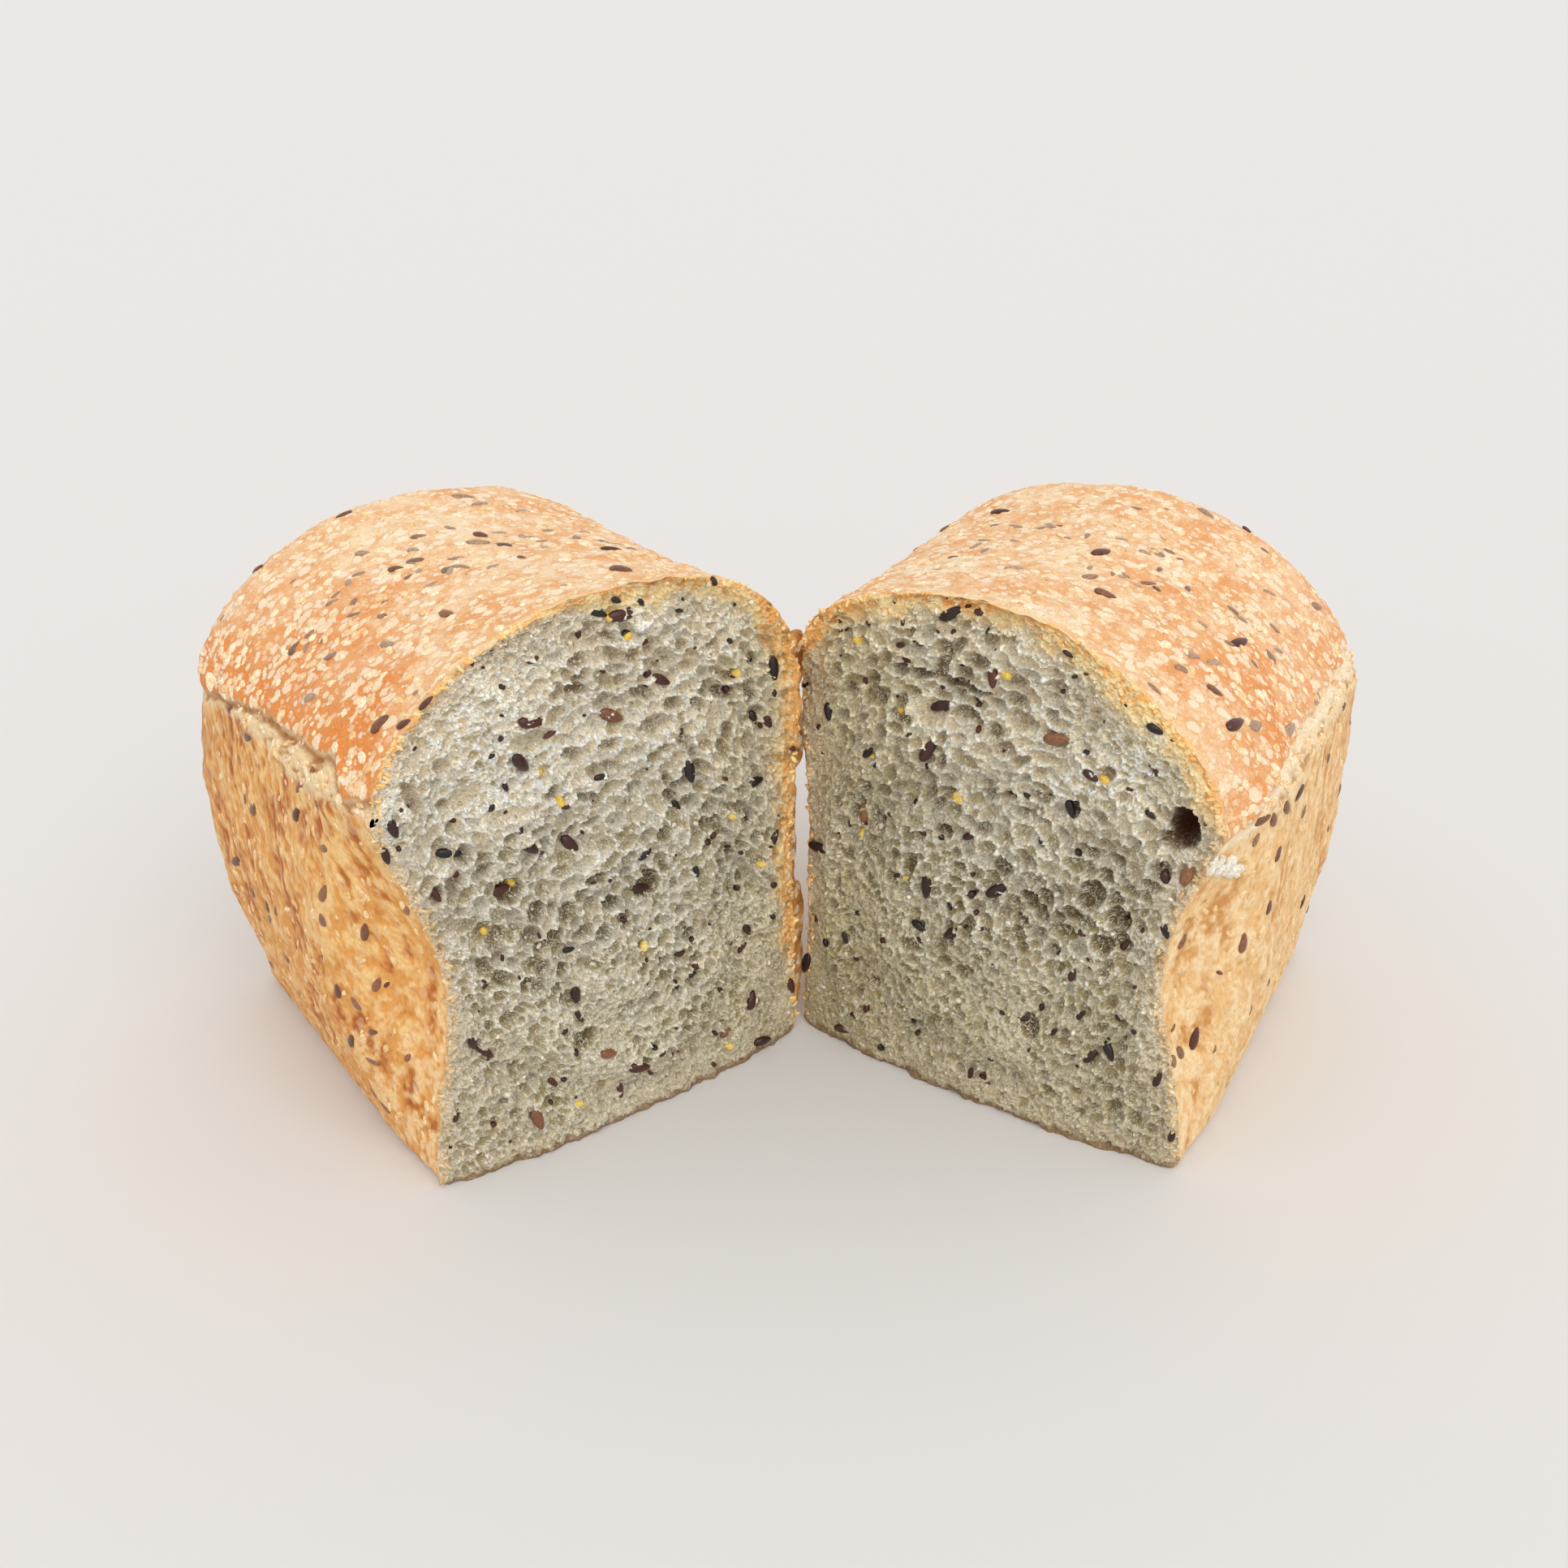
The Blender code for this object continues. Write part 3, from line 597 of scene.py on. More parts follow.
def crumb_colour(half, across, high, row, edge, bowl, tint, ridge, seed):
    """Bright walls as painted light, olive and tan bowls darkened as painted shade, painted shade low down,
    by the hinge and on the right face, brown hollows, and the baked zones under the crust.
    """
    name = half["name"]
    speckle = rough(across, high, 0.9, seed + 20)
    patches = rough(across, high, 9.0, seed + 24)
    # Painted shade and light: darker the deeper a bowl goes and the lower it lies, brighter on the ridges.
    shade = bowl / 1.6 - 0.50 * ridge + 0.16 * speckle - 0.12
    low_down = 1 - blend(high, 45, 85)
    floor = mix(CRUMB_GREY, CRUMB_BOWL, blend(tint, 0.1, 0.5))
    floor = mix(floor, CRUMB_OLIVE, blend(tint + 0.35 * low_down + 0.2 * patches, 0.6, 1.1))
    # Painted light: ridges are whitened, with random specks and patches.
    colour = mix(CRUMB_MID, CRUMB_BRIGHT, blend(ridge + 0.20 * speckle + 0.15 * patches, -0.10, 0.24))
    # Painted shade: the bowls take their floor tints, and the deepest ones go dark brown.
    colour = mix(colour, floor, blend(shade, 0.15, 0.65) * 0.92)
    colour = mix(colour, CRUMB_DEEP_SHADE, blend(shade + 0.15 * low_down, 0.70, 1.75) * 0.92)
    # Painted light: the upper crumb is painted up to a third brighter, with random patches.
    colour = colour * (1.0 + 0.07 * patches + 0.30 * blend(high, 60, 90))[..., None]
    share = across / half["width"]
    # Painted shade: darker low down, beside the hinge, and over the whole right face, which is turned from
    # the light.
    painted_shade = 0.55 * (1 - blend(high, 12, 60)) + 0.75 * (1 - blend(share, 0.05, 0.40))
    painted_shade = painted_shade + (0.25 + 0.5 * painted_shade if half is RIGHT else 0.0)
    colour = colour * CRUMB_SHADE_TINT ** painted_shade[..., None]
    wander = 1.0 + 0.40 * rough(across, high, 7.0, seed + 30)
    top = blend(row, 0.95, 1.15)
    tan = np.exp(-edge / (4.2 * wander)) * (0.45 + 0.55 * top)
    tan = np.maximum(tan, 0.75 * (1 - blend(share, 0.03, 0.11)) * blend(high, 5, 30))
    tan = np.clip(tan * 1.2, 0, 0.85) * (0.55 + 0.45 * blend(shade, -0.2, 0.6))
    colour = mix(colour, CRUMB_TAN[name], tan)
    near_hinge = (1 - blend(share, 0.08, 0.16)) * blend(high, *AMBER_HINGE[name])
    amber_wide = 0.5 + 3.9 * top * (1 - blend(share, *AMBER_FADES[name])) + HINGE_AMBER[name] * near_hinge
    amber = 1 - blend(edge + 0.7 * speckle, 0.60 * amber_wide * wander, 1.50 * amber_wide * wander)
    toasted = blend(speckle + 0.3 * edge - 0.8 * near_hinge + 0.6 * ridge, -0.3, 0.8)
    crumpled = blend(rough(across, high, 1.8, seed + 34) + 0.5 * bowl - 0.3, 0.0, 0.8)
    baked = mix(mix(CRUMB_AMBER, CRUST_EDGE, toasted), CRUMB_OCHRE, crumpled * (0.14 + 0.66 * near_hinge))
    colour = mix(colour, baked, 0.92 * amber * np.maximum(top, near_hinge))
    fringe = (1 - blend(edge, 0.6, 2.6 * wander)) * (1 - top) * blend(share, 0.4, 0.6)
    colour = mix(colour, SHRED_PALE, 0.55 * fringe)
    off_middle = ((across - LINED_ACROSS) / LINED_WIDE) ** 2 + ((high - LINED_HIGH) / LINED_TALL) ** 2
    lined = np.exp(-(off_middle**2)) * blend(bowl, 1.0, 2.4) * (half is RIGHT)
    colour = mix(colour, HOLE_BROWN, 0.97 * lined)
    foot = (1 - blend(high + 0.6 * speckle, 0.8, 2.2)) * 0.8
    colour = mix(colour, FOOT_BROWN, foot)
    openness = (1 - 0.85 * amber * np.maximum(top, near_hinge)) * (1 - lined) * (1 - foot)
    return np.concatenate([colour, openness[..., None]], axis=-1)


left_faces, left_face_points = torn_face(LEFT, 100)
right_faces, right_face_points = torn_face(RIGHT, 200)

# %% [markdown]
# ## Crust
#
# The crust is three kinds of surface. The dome rose free of the tin, so it is
# peach tan, blistered and full of pale specks. The walls were pressed against the
# tin, so they are flatter, golden, and streaked upwards. Between them the dough
# tore as it rose, which left a pale shredded band under the dome's edge. All three
# share one grid of row and depth, with their own relief added to the solid's lumps,
# and it is cut into pieces afterwards. The patterns read the distance walked along
# the surface, so nothing is stretched where the far end rounds over.

# %% Crust colours
DOME_LIGHT = linear(244, 214, 174)
DOME_MID = linear(236, 184, 130)
DOME_DEEP = linear(226, 136, 56)
SHOULDER = {"left": 0.88, "right": 0.50}
# The left wall's palette is deeper and the right's paler: partly the crust's own bake, and partly painted
# shade on the left and painted light on the right.
WALL_LIGHT = {"left": linear(240, 196, 130), "right": linear(244, 214, 166)}
WALL_MID = {"left": linear(224, 158, 80), "right": linear(234, 190, 130)}
WALL_DEEP = {"left": linear(172, 88, 28), "right": linear(204, 142, 74)}
# The crease under the dome's lip: on the left a painted shadow under the lip, on the right pale torn fibres.
CREASE_SHADOW_AND_FIBRES = {"left": linear(170, 112, 58), "right": linear(246, 230, 200)}
CREASE_WIDE, CREASE_LOW = {"left": 0.8, "right": 1.5}, {"left": 1.0, "right": 1.8}
UNDERSIDE_DARK = linear(120, 70, 30)
LIP_RAGGED = 0.8
# Share of the true height that the walls' patterns are drawn out over.
WALL_STRETCH = 0.45
STRAIGHT_COLUMNS, CORNER_COLUMNS = 202, 36
WALL_ROWS, DOME_ROWS, BACK_ROWS, INNER_ROWS = 196, 232, 149, 150
# How many flecks the dome, the shredded band and the walls carry.
DOME_FLECKS, BAND_FLECKS, WALL_FLECKS = 1.0, 0.15, 0.45
# Where the patterns of the far end, the underside and the web start, so that none repeats the walls'.
END_PATTERN, FOOT_PATTERN, WEB_PATTERN = 300.0, 700.0, 1200


# %% Crust surface
def deep_line(half):
    """Depths of the columns: straight first, then in even steps of angle round the far corner."""
    corner = half["wall_corner"]
    straight = (half["length"] - corner) * np.linspace(0, 1, STRAIGHT_COLUMNS, endpoint=False) ** 1.05
    turn = np.linspace(0, np.pi / 2, CORNER_COLUMNS)
    return np.concatenate([straight, half["length"] - corner * (1 - np.sin(turn))])


def side_of_crust(half, outer, row_lists):
    """Across, deep and high of one side over rows that climb it."""
    row, deep = np.meshgrid(row_lists, deep_line(half), indexing="ij")
    across, high = side_profile(half, outer, row, deep)
    return across, deep, high, np.full(row.shape, outer)


def climbed(points, stretch):
    """Distance along the rows of a grid, scaled row by row, the mean of all its columns."""
    step = np.linalg.norm(np.diff(points, axis=0), axis=-1).mean(axis=1) * stretch[1:]
    line = np.concatenate([[0], np.cumsum(step)])
    return line[:, None] + np.zeros(points.shape[:2])


def walked(points):
    """Distance along each row of a grid from its first column, by adding up its steps."""
    step = np.linalg.norm(np.diff(points, axis=1), axis=-1)
    return np.concatenate([np.zeros((len(points), 1)), np.cumsum(step, axis=1)], axis=1)


def crust_zones(half, outer, deep, high, around, seed):
    """Shares of dome, shredded band and wall, and the height above the dome's lip."""
    lip = np.interp(deep, half["lip_deep"], half["lip_high"])
    ragged = hills(deep, deep * 0, 5.0, seed + 50) + 0.6 * hills(deep, deep * 0, 1.6, seed + 51)
    lip = lip + LIP_RAGGED * ragged
    above = high - np.where(outer, lip, half["tin_rim"] + 3)
    dome = blend(above, -0.3, 0.3)
    foot_of_band = half["tin_rim"] - 2.0 + 2.0 * hills(deep, around, 6.0, seed + 52)
    foot_of_band = np.minimum(foot_of_band, lip - 3.0)
    band = blend(high, foot_of_band - 1.2, foot_of_band + 1.2) * (1 - dome)
    return dome, band, above


def crust_surface(half, seed):
    """The whole crust of a half, from the outer foot over the crest to the other foot, in three pieces.

    Fine relief is added along the outward direction: upright streaks and pits on the
    walls, blisters and wrinkles on the dome, and a groove with torn fibres under its lip.
    """
    up = np.concatenate([np.linspace(0, 1, WALL_ROWS, endpoint=False), np.linspace(1, 2, DOME_ROWS)])
    down = np.concatenate([np.linspace(2, 1, BACK_ROWS + 1)[1:], np.linspace(1, 0, INNER_ROWS + 1)[1:]])
    both = zip(side_of_crust(half, True, up), side_of_crust(half, False, down))
    across, deep, high, outer = (np.concatenate(pair) for pair in both)
    stretch = np.where(high.mean(axis=1) < half["tin_rim"] - 1, WALL_STRETCH, 1.0)
    plain = bend(half, across, high, deep)
    around, along = climbed(plain, stretch), walked(plain)
    dome, band, above = crust_zones(half, outer, deep, high, around, seed)

    streaks = rough(along, around * 0.6, 2.4, seed)
    dents = np.minimum(hills(along, around, 1.5, seed + 4), 0.0)
    fibres = rough(along * 0.55 + high * 0.35, high * 1.1, 1.5, seed + 8)
    blisters = np.clip(hills(along, around, 4.5, seed + 60) - 0.2, 0, 1)
    wrinkles = 1 - np.abs(rough(along, around, 3.2, seed + 63))
    grains = np.clip(hills(along, around, 1.2, seed + 66), 0, 1)
    dome_fine = 0.22 * blisters + 0.16 * wrinkles + 0.26 * grains - 0.30
    groove = np.exp(-(((above + 1.0) / 0.9) ** 2)) * outer
    bulge = np.exp(-(((above - 1.3) / 1.3) ** 2)) * outer
    wall_fine = 0.16 * streaks + 0.20 * dents + 0.18 * rough(along, around * 1.4, 1.7, seed + 25)
    fine = dome * dome_fine + band * (0.45 * fibres - 0.35) + (1 - dome - band) * wall_fine
    fine = fine - 0.8 * groove + 0.25 * bulge
    dome_row = np.concatenate([up, down])[:, None]
    calm = blend(high, 0.0, 3.0) * blend(deep, 0.0, 1.5) * blend(half["length"] - deep, 0.0, 2.0)
    points = bend(half, across, high, deep, crust_lumps(half, across, high, deep) + calm * fine)
    points[..., 1] += edge_wave(half, across, high) * np.exp(-deep / CUT_FADE)

    name = half["name"]
    colour = wall_colour(half, along, deep, high, around, streaks, seed)
    colour = mix(colour, dome_colour(half, along, around, above, wrinkles, blisters, seed), dome)
    torn = mix(SHRED_PALE, SHRED_DARK, blend(-fibres + 0.3 * streaks, 0.0, 0.9))
    colour = mix(colour, torn, band * np.where(outer, 0.9, 0.35))
    # Painted shadow in the crease under the lip on the left; pale torn fibres there on the right.
    crease = np.exp(-(((above + CREASE_LOW[name]) / CREASE_WIDE[name]) ** 2)) * outer
    colour = mix(colour, CREASE_SHADOW_AND_FIBRES[name], 0.85 * crease * blend(deep, 0, 4))
    cut = np.exp(-deep / (1.3 + 0.6 * hills(deep, high, 2.5, seed + 18)))
    inner_side = np.clip(1 - outer * blend(2.0 - dome_row, 0.35, 0.6), 0, 1)
    colour = mix(colour, mix(SHRED_PALE, CRUST_EDGE, dome), 0.7 * cut * (0.35 + 0.65 * inner_side))
    flecks = DOME_FLECKS * dome + BAND_FLECKS * band + WALL_FLECKS * (1 - dome - band)
    colour = np.concatenate([colour, (flecks * blend(deep, 0.0, 3.0))[..., None]], axis=-1)
    surface = np.stack([along, around], axis=-1)
    placed = to_world(half, points)
    first, second = WALL_ROWS, WALL_ROWS + DOME_ROWS + BACK_ROWS - 1
    parts = {
        "wall": slice(0, first + 1),
        "dome": slice(first, second + 1),
        "hinge_wall": slice(second, None),
    }
    pieces = {}
    for part, lines in parts.items():
        whole_name = part + "_" + name
        pieces[part] = grid_object(whole_name, placed[lines], middle_of(half), colour[lines], surface[lines])
    return pieces, {part: placed[lines] for part, lines in parts.items()}


def wall_colour(half, along, deep, high, around, streaks, seed):
    """Golden wall with upright streaks, deeper patches, a darker back and a paler front corner."""
    name = half["name"]
    patches = rough(along, high * 0.7, 13.0, seed + 15)
    mottle = rough(along, around * 1.4, 1.7, seed + 25)
    grain = rough(around * 1.6, along, 0.9, seed + 28, 2)
    blotch = rough(along, around, 3.6, seed + 27)
    light = 0.35 * streaks + 0.15 * patches + 0.7 * mottle + 0.5 * grain
    colour = mix(WALL_MID[name], WALL_LIGHT[name], blend(light, -0.1, 0.7))
    dark = -0.3 * streaks - 0.35 * patches - 0.5 * mottle - 0.6 * blotch - 0.4 * grain
    dark = dark + 0.2 * blend(high, 30, 60)
    colour = mix(colour, WALL_DEEP[name], blend(dark, 0.15, 1.1) * 0.9)
    back = blend(deep, 55, 88) * blend(high, 40, 66) * (1 - blend(high, 74, 82))
    colour = mix(colour, WALL_DEEP[name], 0.55 * back)
    front = (1 - blend(deep, 4, 26)) * (1 - blend(high, 20, 48)) * blend(mottle + 0.6 * grain, -0.4, 0.5)
    return mix(colour, WALL_LIGHT["right"], 0.50 * front)


def dome_colour(half, along, around, above, wrinkles, blisters, seed):
    """Peach dome, paler on its wrinkles, deeper on its shoulders and its blisters."""
    tone = rough(along, around, 14.0, seed + 71)
    mottle = rough(along, around, 2.6, seed + 75)
    shoulder = 1 - blend(above, 2.0, 26.0)
    colour = mix(DOME_MID, DOME_LIGHT, blend(0.5 * tone + 0.4 * wrinkles + 0.4 * mottle, 0.0, 1.0))
    deeper = SHOULDER[half["name"]] * shoulder + 0.30 * blend(-tone - mottle, 0.1, 1.0)
    colour = mix(colour, DOME_DEEP, np.clip(deeper, 0, 0.9))
    return mix(colour, DOME_DEEP, 0.30 * blend(blisters, 0.15, 0.5))


def end_piece(half, seed):
    """The far end between its rounded corners, coloured by the same rules as the walls and the dome."""
    rows = np.concatenate([np.linspace(0, 1, 110), np.linspace(1, 2, 71)[1:]])
    deep = np.full(rows.shape, half["length"])
    hinge_across, hinge_high = side_profile(half, False, rows, deep)
    outer_across, outer_high = side_profile(half, True, rows, deep)
    hinge_lumps = crust_lumps(half, hinge_across, hinge_high, deep)
    outer_lumps = crust_lumps(half, outer_across, outer_high, deep)
    hinge_side = bend(half, hinge_across, hinge_high, deep, hinge_lumps)[:, None]
    outer_side = bend(half, outer_across, outer_high, deep, outer_lumps)[:, None]
    share = np.linspace(0, 1, 120)[None, :]
    points = hinge_side + (outer_side - hinge_side) * share[..., None]
    level = hinge_high[:, None] + (outer_high - hinge_high)[:, None] * share
    row = rows[:, None]
    calm = blend(share, 0, 0.06) * blend(1 - share, 0, 0.06) * blend(row, 0, 0.05) * blend(2 - row, 0, 0.2)
    across, high = points[..., 0] + END_PATTERN, points[..., 2]
    streaks = rough(across, high * 0.4, 3.0, seed)
    points[..., 1] += calm * (0.25 * streaks + 0.5 * rough(across, high, 12.0, seed + 3) - 0.6)
    wrinkles = 1 - np.abs(rough(across, high, 3.2, seed + 63))
    blisters = np.clip(hills(across, high, 4.5, seed + 60) - 0.2, 0, 1)
    lip = (half["tin_rim"] + 3) * (1 - share) + half["lip_high"][-1] * share
    above = level - lip - LIP_RAGGED * hills(across, across * 0, 5.0, seed + 50)
    dome = blend(above, -0.3, 0.3)
    colour = wall_colour(half, across, deep[:, None], level, high, streaks, seed)
    colour = mix(colour, dome_colour(half, across, high, above, wrinkles, blisters, seed), dome)
    flecks = WALL_FLECKS + (DOME_FLECKS - WALL_FLECKS) * dome
    colour = np.concatenate([colour, flecks[..., None]], axis=-1)
    placed = to_world(half, points)
    surface = np.stack([across, high], axis=-1)
    return grid_object("far_end_" + half["name"], placed, middle_of(half), colour, surface), placed


def underside_piece(half):
    """The flat underside: a grid between the feet of both walls, bent like them, so that they meet."""
    depths = half["length"] * np.linspace(0, 1, 60) ** 1.5
    share, deep = np.meshgrid(np.linspace(0, 1, 120), depths, indexing="ij")
    hinge_across, high = side_profile(half, False, 0.0, deep)
    outer_across, _ = side_profile(half, True, 0.0, deep)
    across = hinge_across + (outer_across - hinge_across) * share
    points = bend(half, across, high, deep)
    points[..., 1] += edge_wave(half, across, high) * np.exp(-deep / CUT_FADE)
    patches = blend(rough(across, deep, 12.0, 77), -0.5, 0.8)
    colour = mix(WALL_DEEP["left"], UNDERSIDE_DARK, patches)
    surface = np.stack([across + FOOT_PATTERN, deep], axis=-1)
    name = "underside_" + half["name"]
    return grid_object(name, to_world(half, points), middle_of(half), colour, surface)


# %% Crust pieces
crust_pieces = []
grids = {"left": {"face": left_face_points}, "right": {"face": right_face_points}}
for half, seed in ((LEFT, 300), (RIGHT, 400)):
    pieces, places = crust_surface(half, seed)
    far_end, places["end"] = end_piece(half, seed + 80)
    grids[half["name"]].update(places)
    crust_pieces += [*pieces.values(), far_end, underside_piece(half)]

# %% [markdown]
# ## The back crust that still joins the halves
#
# The loaf was opened like a book, and its back crust is the spine. It shows as an
# uneven amber web with slits in it. Each piece of the web is a flattened tube: an
# oval section carried up a line, whose radius shrinks to nothing at both ends. A
# tube is used instead of a thin sheet, because it is closed and looks right from
# the back as well.

# %% Hinge web
# Lowest and highest point, and start and end on the way from the left hinge (0) to the right one (1).
HINGE_STRIPS = (
    (4.0, 36.5, -0.6, 1.6), (33.0, 67.0, -0.6, 0.45), (64.5, 78.0, -0.6, 1.6), (82.5, 95.0, -0.6, 1.6),
)
STRIP_BACK, STRIP_THICK = 1.9, 3.4
RING_APART, RING_POINTS = 0.4, 40
WEB_DARK = linear(140, 84, 30)
WEB_AMBER = linear(196, 134, 60)
WEB_PALE = linear(226, 178, 108)


def web_strip(name, low, high, start, end, seed):
    """A strip of back crust: an oval section carried from low to high, closed at both ends."""
    left, right = np.array(LEFT["hinge"]), np.array(RIGHT["hinge"])
    span = np.linalg.norm(right - left)
    along = (right - left) / span
    back = np.array([-along[1], along[0]])
    middle = left + (right - left) * 0.5 * (start + end) + back * STRIP_BACK
    levels = np.linspace(0, 1, int((high - low) / RING_APART))[1:-1]
    turns = np.linspace(0, 2 * np.pi, RING_POINTS, endpoint=False)
    level, turn = np.meshgrid(levels, turns, indexing="ij")
    height = low + (high - low) * level
    close = np.clip(1 - np.abs(2 * level - 1) ** 10, 0, 1) ** 0.5
    ragged = 1 + 0.10 * rough(height, np.cos(turn) * 3, 3.0, seed)
    wide = 0.5 * (end - start) * span * ragged * close
    thick = 0.5 * STRIP_THICK * close * (0.8 + 0.2 * rough(height, turn * 0 + 1, 4.0, seed + 1))
    wrinkle = 0.25 * rough(3 * np.cos(turn), height * 0.5, 1.2, seed + 2) * close
    spots = middle + (wide * np.cos(turn))[..., None] * along
    spots = spots + ((thick + wrinkle) * np.sin(turn))[..., None] * back
    rings = np.concatenate([spots, height[..., None]], axis=-1).reshape(-1, 3)
    points = np.concatenate([[[*middle, low]], rings, [[*middle, high]]])
    tone = rough(3 * np.cos(turn), height * 0.4, 1.8, seed + 3)
    colour = mix(WEB_AMBER, WEB_PALE, blend(tone, 0.1, 1.0))
    colour = mix(colour, WEB_DARK, blend(-tone, 0.1, 0.9)).reshape(-1, 3)
    surface = np.stack([4 * np.cos(turn), height + WEB_PATTERN], axis=-1).reshape(-1, 2)
    colour, surface = (np.concatenate([part[:1], part, part[-1:]]) for part in (colour, surface))
    return make_mesh(name, points, tube_faces(*level.shape), colour, surface)


web_pieces = [web_strip(f"back_crust_{k}", *strip, 500 + 10 * k) for k, strip in enumerate(HINGE_STRIPS)]

# %% [markdown]
# ## Seeds and grains
#
# A multigrain loaf is full of flax seeds, with paler grains and yellow grits. A
# seed is a small surface of its own, a pointed oval of a few dozen faces. Copies
# are laid by arrays: every copy's place, long direction and outward direction form
# a turned frame, and all copies become one joined mesh. Instances would be lighter,
# but a joined mesh lets every seed have its own length, width and colour. The seeds
# that stand out are laid where they are seen, from the image places of their two
# ends, and the rest are strewn by a seeded rule.

# %% Seed shapes
def oval(long_steps, around_steps, pointed):
    """A closed oval of size 1: radius follows the root of 1 - x^2, less towards one tip when pointed."""
    x = -np.cos(np.linspace(0, np.pi, long_steps + 1)[1:-1])
    radius = np.sqrt(1 - x * x) * (1 - pointed * x)
    turn = np.linspace(0, 2 * np.pi, around_steps, endpoint=False)
    sides = (x[:, None], radius[:, None] * np.cos(turn), radius[:, None] * np.sin(turn))
    body = np.stack(np.broadcast_arrays(*sides), axis=-1)
    points = np.concatenate([[[-1, 0, 0]], body.reshape(-1, 3), [[1, 0, 0]]]) * 0.5
    return points, tube_faces(len(x), around_steps)


FLAX = oval(7, 8, 0.22)
GRAIN = oval(5, 7, 0.05)
CHIP = oval(4, 5, 0.0)


def strew(name, shape, middle, long_way, out, sizes, colours):
    """Copies of a shape joined into one mesh, each turned to its own frame and scaled to its own sizes."""
    points, faces = shape
    out = out / np.linalg.norm(out, axis=1, keepdims=True)
    long_way = long_way - out * np.sum(long_way * out, axis=1, keepdims=True)
    long_way = long_way / np.maximum(np.linalg.norm(long_way, axis=1, keepdims=True), 1e-9)
    side_way = np.cross(out, long_way)
    frames = np.stack([long_way, side_way, out], axis=1)
    scaled = points[None] * sizes[:, None, :]
    placed = middle[:, None, :] + np.einsum("kpi,kij->kpj", scaled, frames)
    joined = faces[None] + (np.arange(len(middle)) * len(points))[:, None, None]
    tones = np.repeat(colours, len(points), axis=0)
    local = (scaled + np.arange(len(middle))[:, None, None] * 7.0).reshape(-1, 3)
    print(len(middle), "copies in", name)
    return make_mesh(name, placed.reshape(-1, 3), joined.reshape(-1, 3), tones, local)


# %% Places of seeds
def seen_points(grid, spots):
    """Grid points, and the way they face, that fall on image spots; points turned away are passed over."""
    points = grid.reshape(-1, 3)
    normals = facing(grid).reshape(-1, 3)
    towards = CAMERA_PLACE - points
    turned = np.sum(normals * towards, axis=1)
    if np.median(turned) < 0:
        normals, turned = -normals, -turned
    flat = pixels(points)
    flat[turned <= 0] = 1e9
    nearest = [np.argmin(np.sum((flat - spot) ** 2, axis=1)) for spot in np.asarray(spots, float)]
    return points[nearest], normals[nearest]


def outward(grid, half):
    """Normals of a grid, turned to look away from the middle of its half."""
    normal = facing(grid)
    return normal if np.sum(normal * (grid - middle_of(half))) > 0 else -normal


# Image places of the two ends of each dark seed on the torn faces.
FLAX_SEEN = {
    "left": (
        (743, 761, 788, 756), (729, 753, 745, 757), (752, 737, 765, 741), (786, 737, 793, 746),
        (950, 808, 956, 839), (636, 890, 671, 889), (631, 928, 651, 950), (731, 958, 750, 954),
        (536, 1051, 569, 1050), (646, 1035, 657, 1048), (691, 1030, 714, 1051), (786, 1059, 802, 1045),
        (605, 1104, 621, 1089), (776, 1097, 796, 1092), (857, 1066, 859, 1080), (950, 1045, 956, 1021),
        (826, 985, 838, 999), (924, 970, 934, 957), (848, 933, 851, 966), (924, 875, 931, 892),
        (941, 882, 949, 896), (480, 1011, 488, 1031), (532, 1095, 542, 1111), (472, 1045, 478, 1064),
        (648, 816, 664, 810), (805, 834, 822, 840), (693, 1172, 708, 1168), (708, 1216, 710, 1234),
        (710, 1246, 717, 1258), (589, 1291, 607, 1301), (578, 1279, 585, 1290), (675, 1326, 687, 1339),
        (776, 1317, 798, 1312), (560, 1382, 564, 1367), (830, 1176, 844, 1171), (910, 1175, 917, 1159),
        (917, 1138, 924, 1152), (830, 1207, 833, 1218), (849, 1204, 857, 1197), (923, 1244, 929, 1220),
        (972, 1207, 976, 1221), (929, 1286, 948, 1279),
    ),
    "right": (
        (1159, 761, 1185, 750), (1105, 820, 1141, 802), (1105, 795, 1116, 793), (1035, 777, 1046, 774),
        (985, 845, 997, 841), (1150, 872, 1171, 866), (1136, 935, 1152, 913), (1064, 932, 1076, 920),
        (1310, 802, 1323, 808), (1414, 893, 1434, 904), (1336, 949, 1353, 961), (1316, 985, 1324, 1006),
        (1189, 1031, 1200, 1028), (1282, 1032, 1294, 1047), (1410, 999, 1423, 1009),
        (1001, 1038, 1017, 1050), (1435, 1072, 1437, 1095), (1219, 1099, 1242, 1093),
        (1164, 1154, 1186, 1143), (1126, 1134, 1141, 1147), (1040, 1147, 1042, 1163),
        (1432, 1140, 1441, 1154), (1380, 1170, 1391, 1159), (1019, 866, 1022, 888),
        (1141, 1077, 1144, 1107), (997, 1173, 991, 1199), (1320, 1207, 1324, 1194),
        (1326, 1256, 1337, 1243), (1254, 1255, 1268, 1254), (1294, 1274, 1303, 1267),
        (1335, 1307, 1351, 1294), (1361, 1283, 1372, 1307), (1049, 1248, 1058, 1251),
        (1031, 1263, 1049, 1272), (1190, 1330, 1202, 1314), (1208, 1323, 1221, 1336),
        (1422, 1338, 1430, 1322), (1442, 1405, 1446, 1393),
    ),
}
BROWN_SEEN = {
    "left": (
        (740, 878, 765, 886), (667, 908, 688, 899), (740, 1298, 760, 1299), (762, 1335, 764, 1352),
        (887, 1277, 899, 1266), (659, 1368, 665, 1388),
    ),
    "right": (
        (1219, 825, 1228, 845), (1286, 909, 1317, 911), (1459, 1088, 1467, 1068), (1063, 1013, 1067, 988),
    ),
}
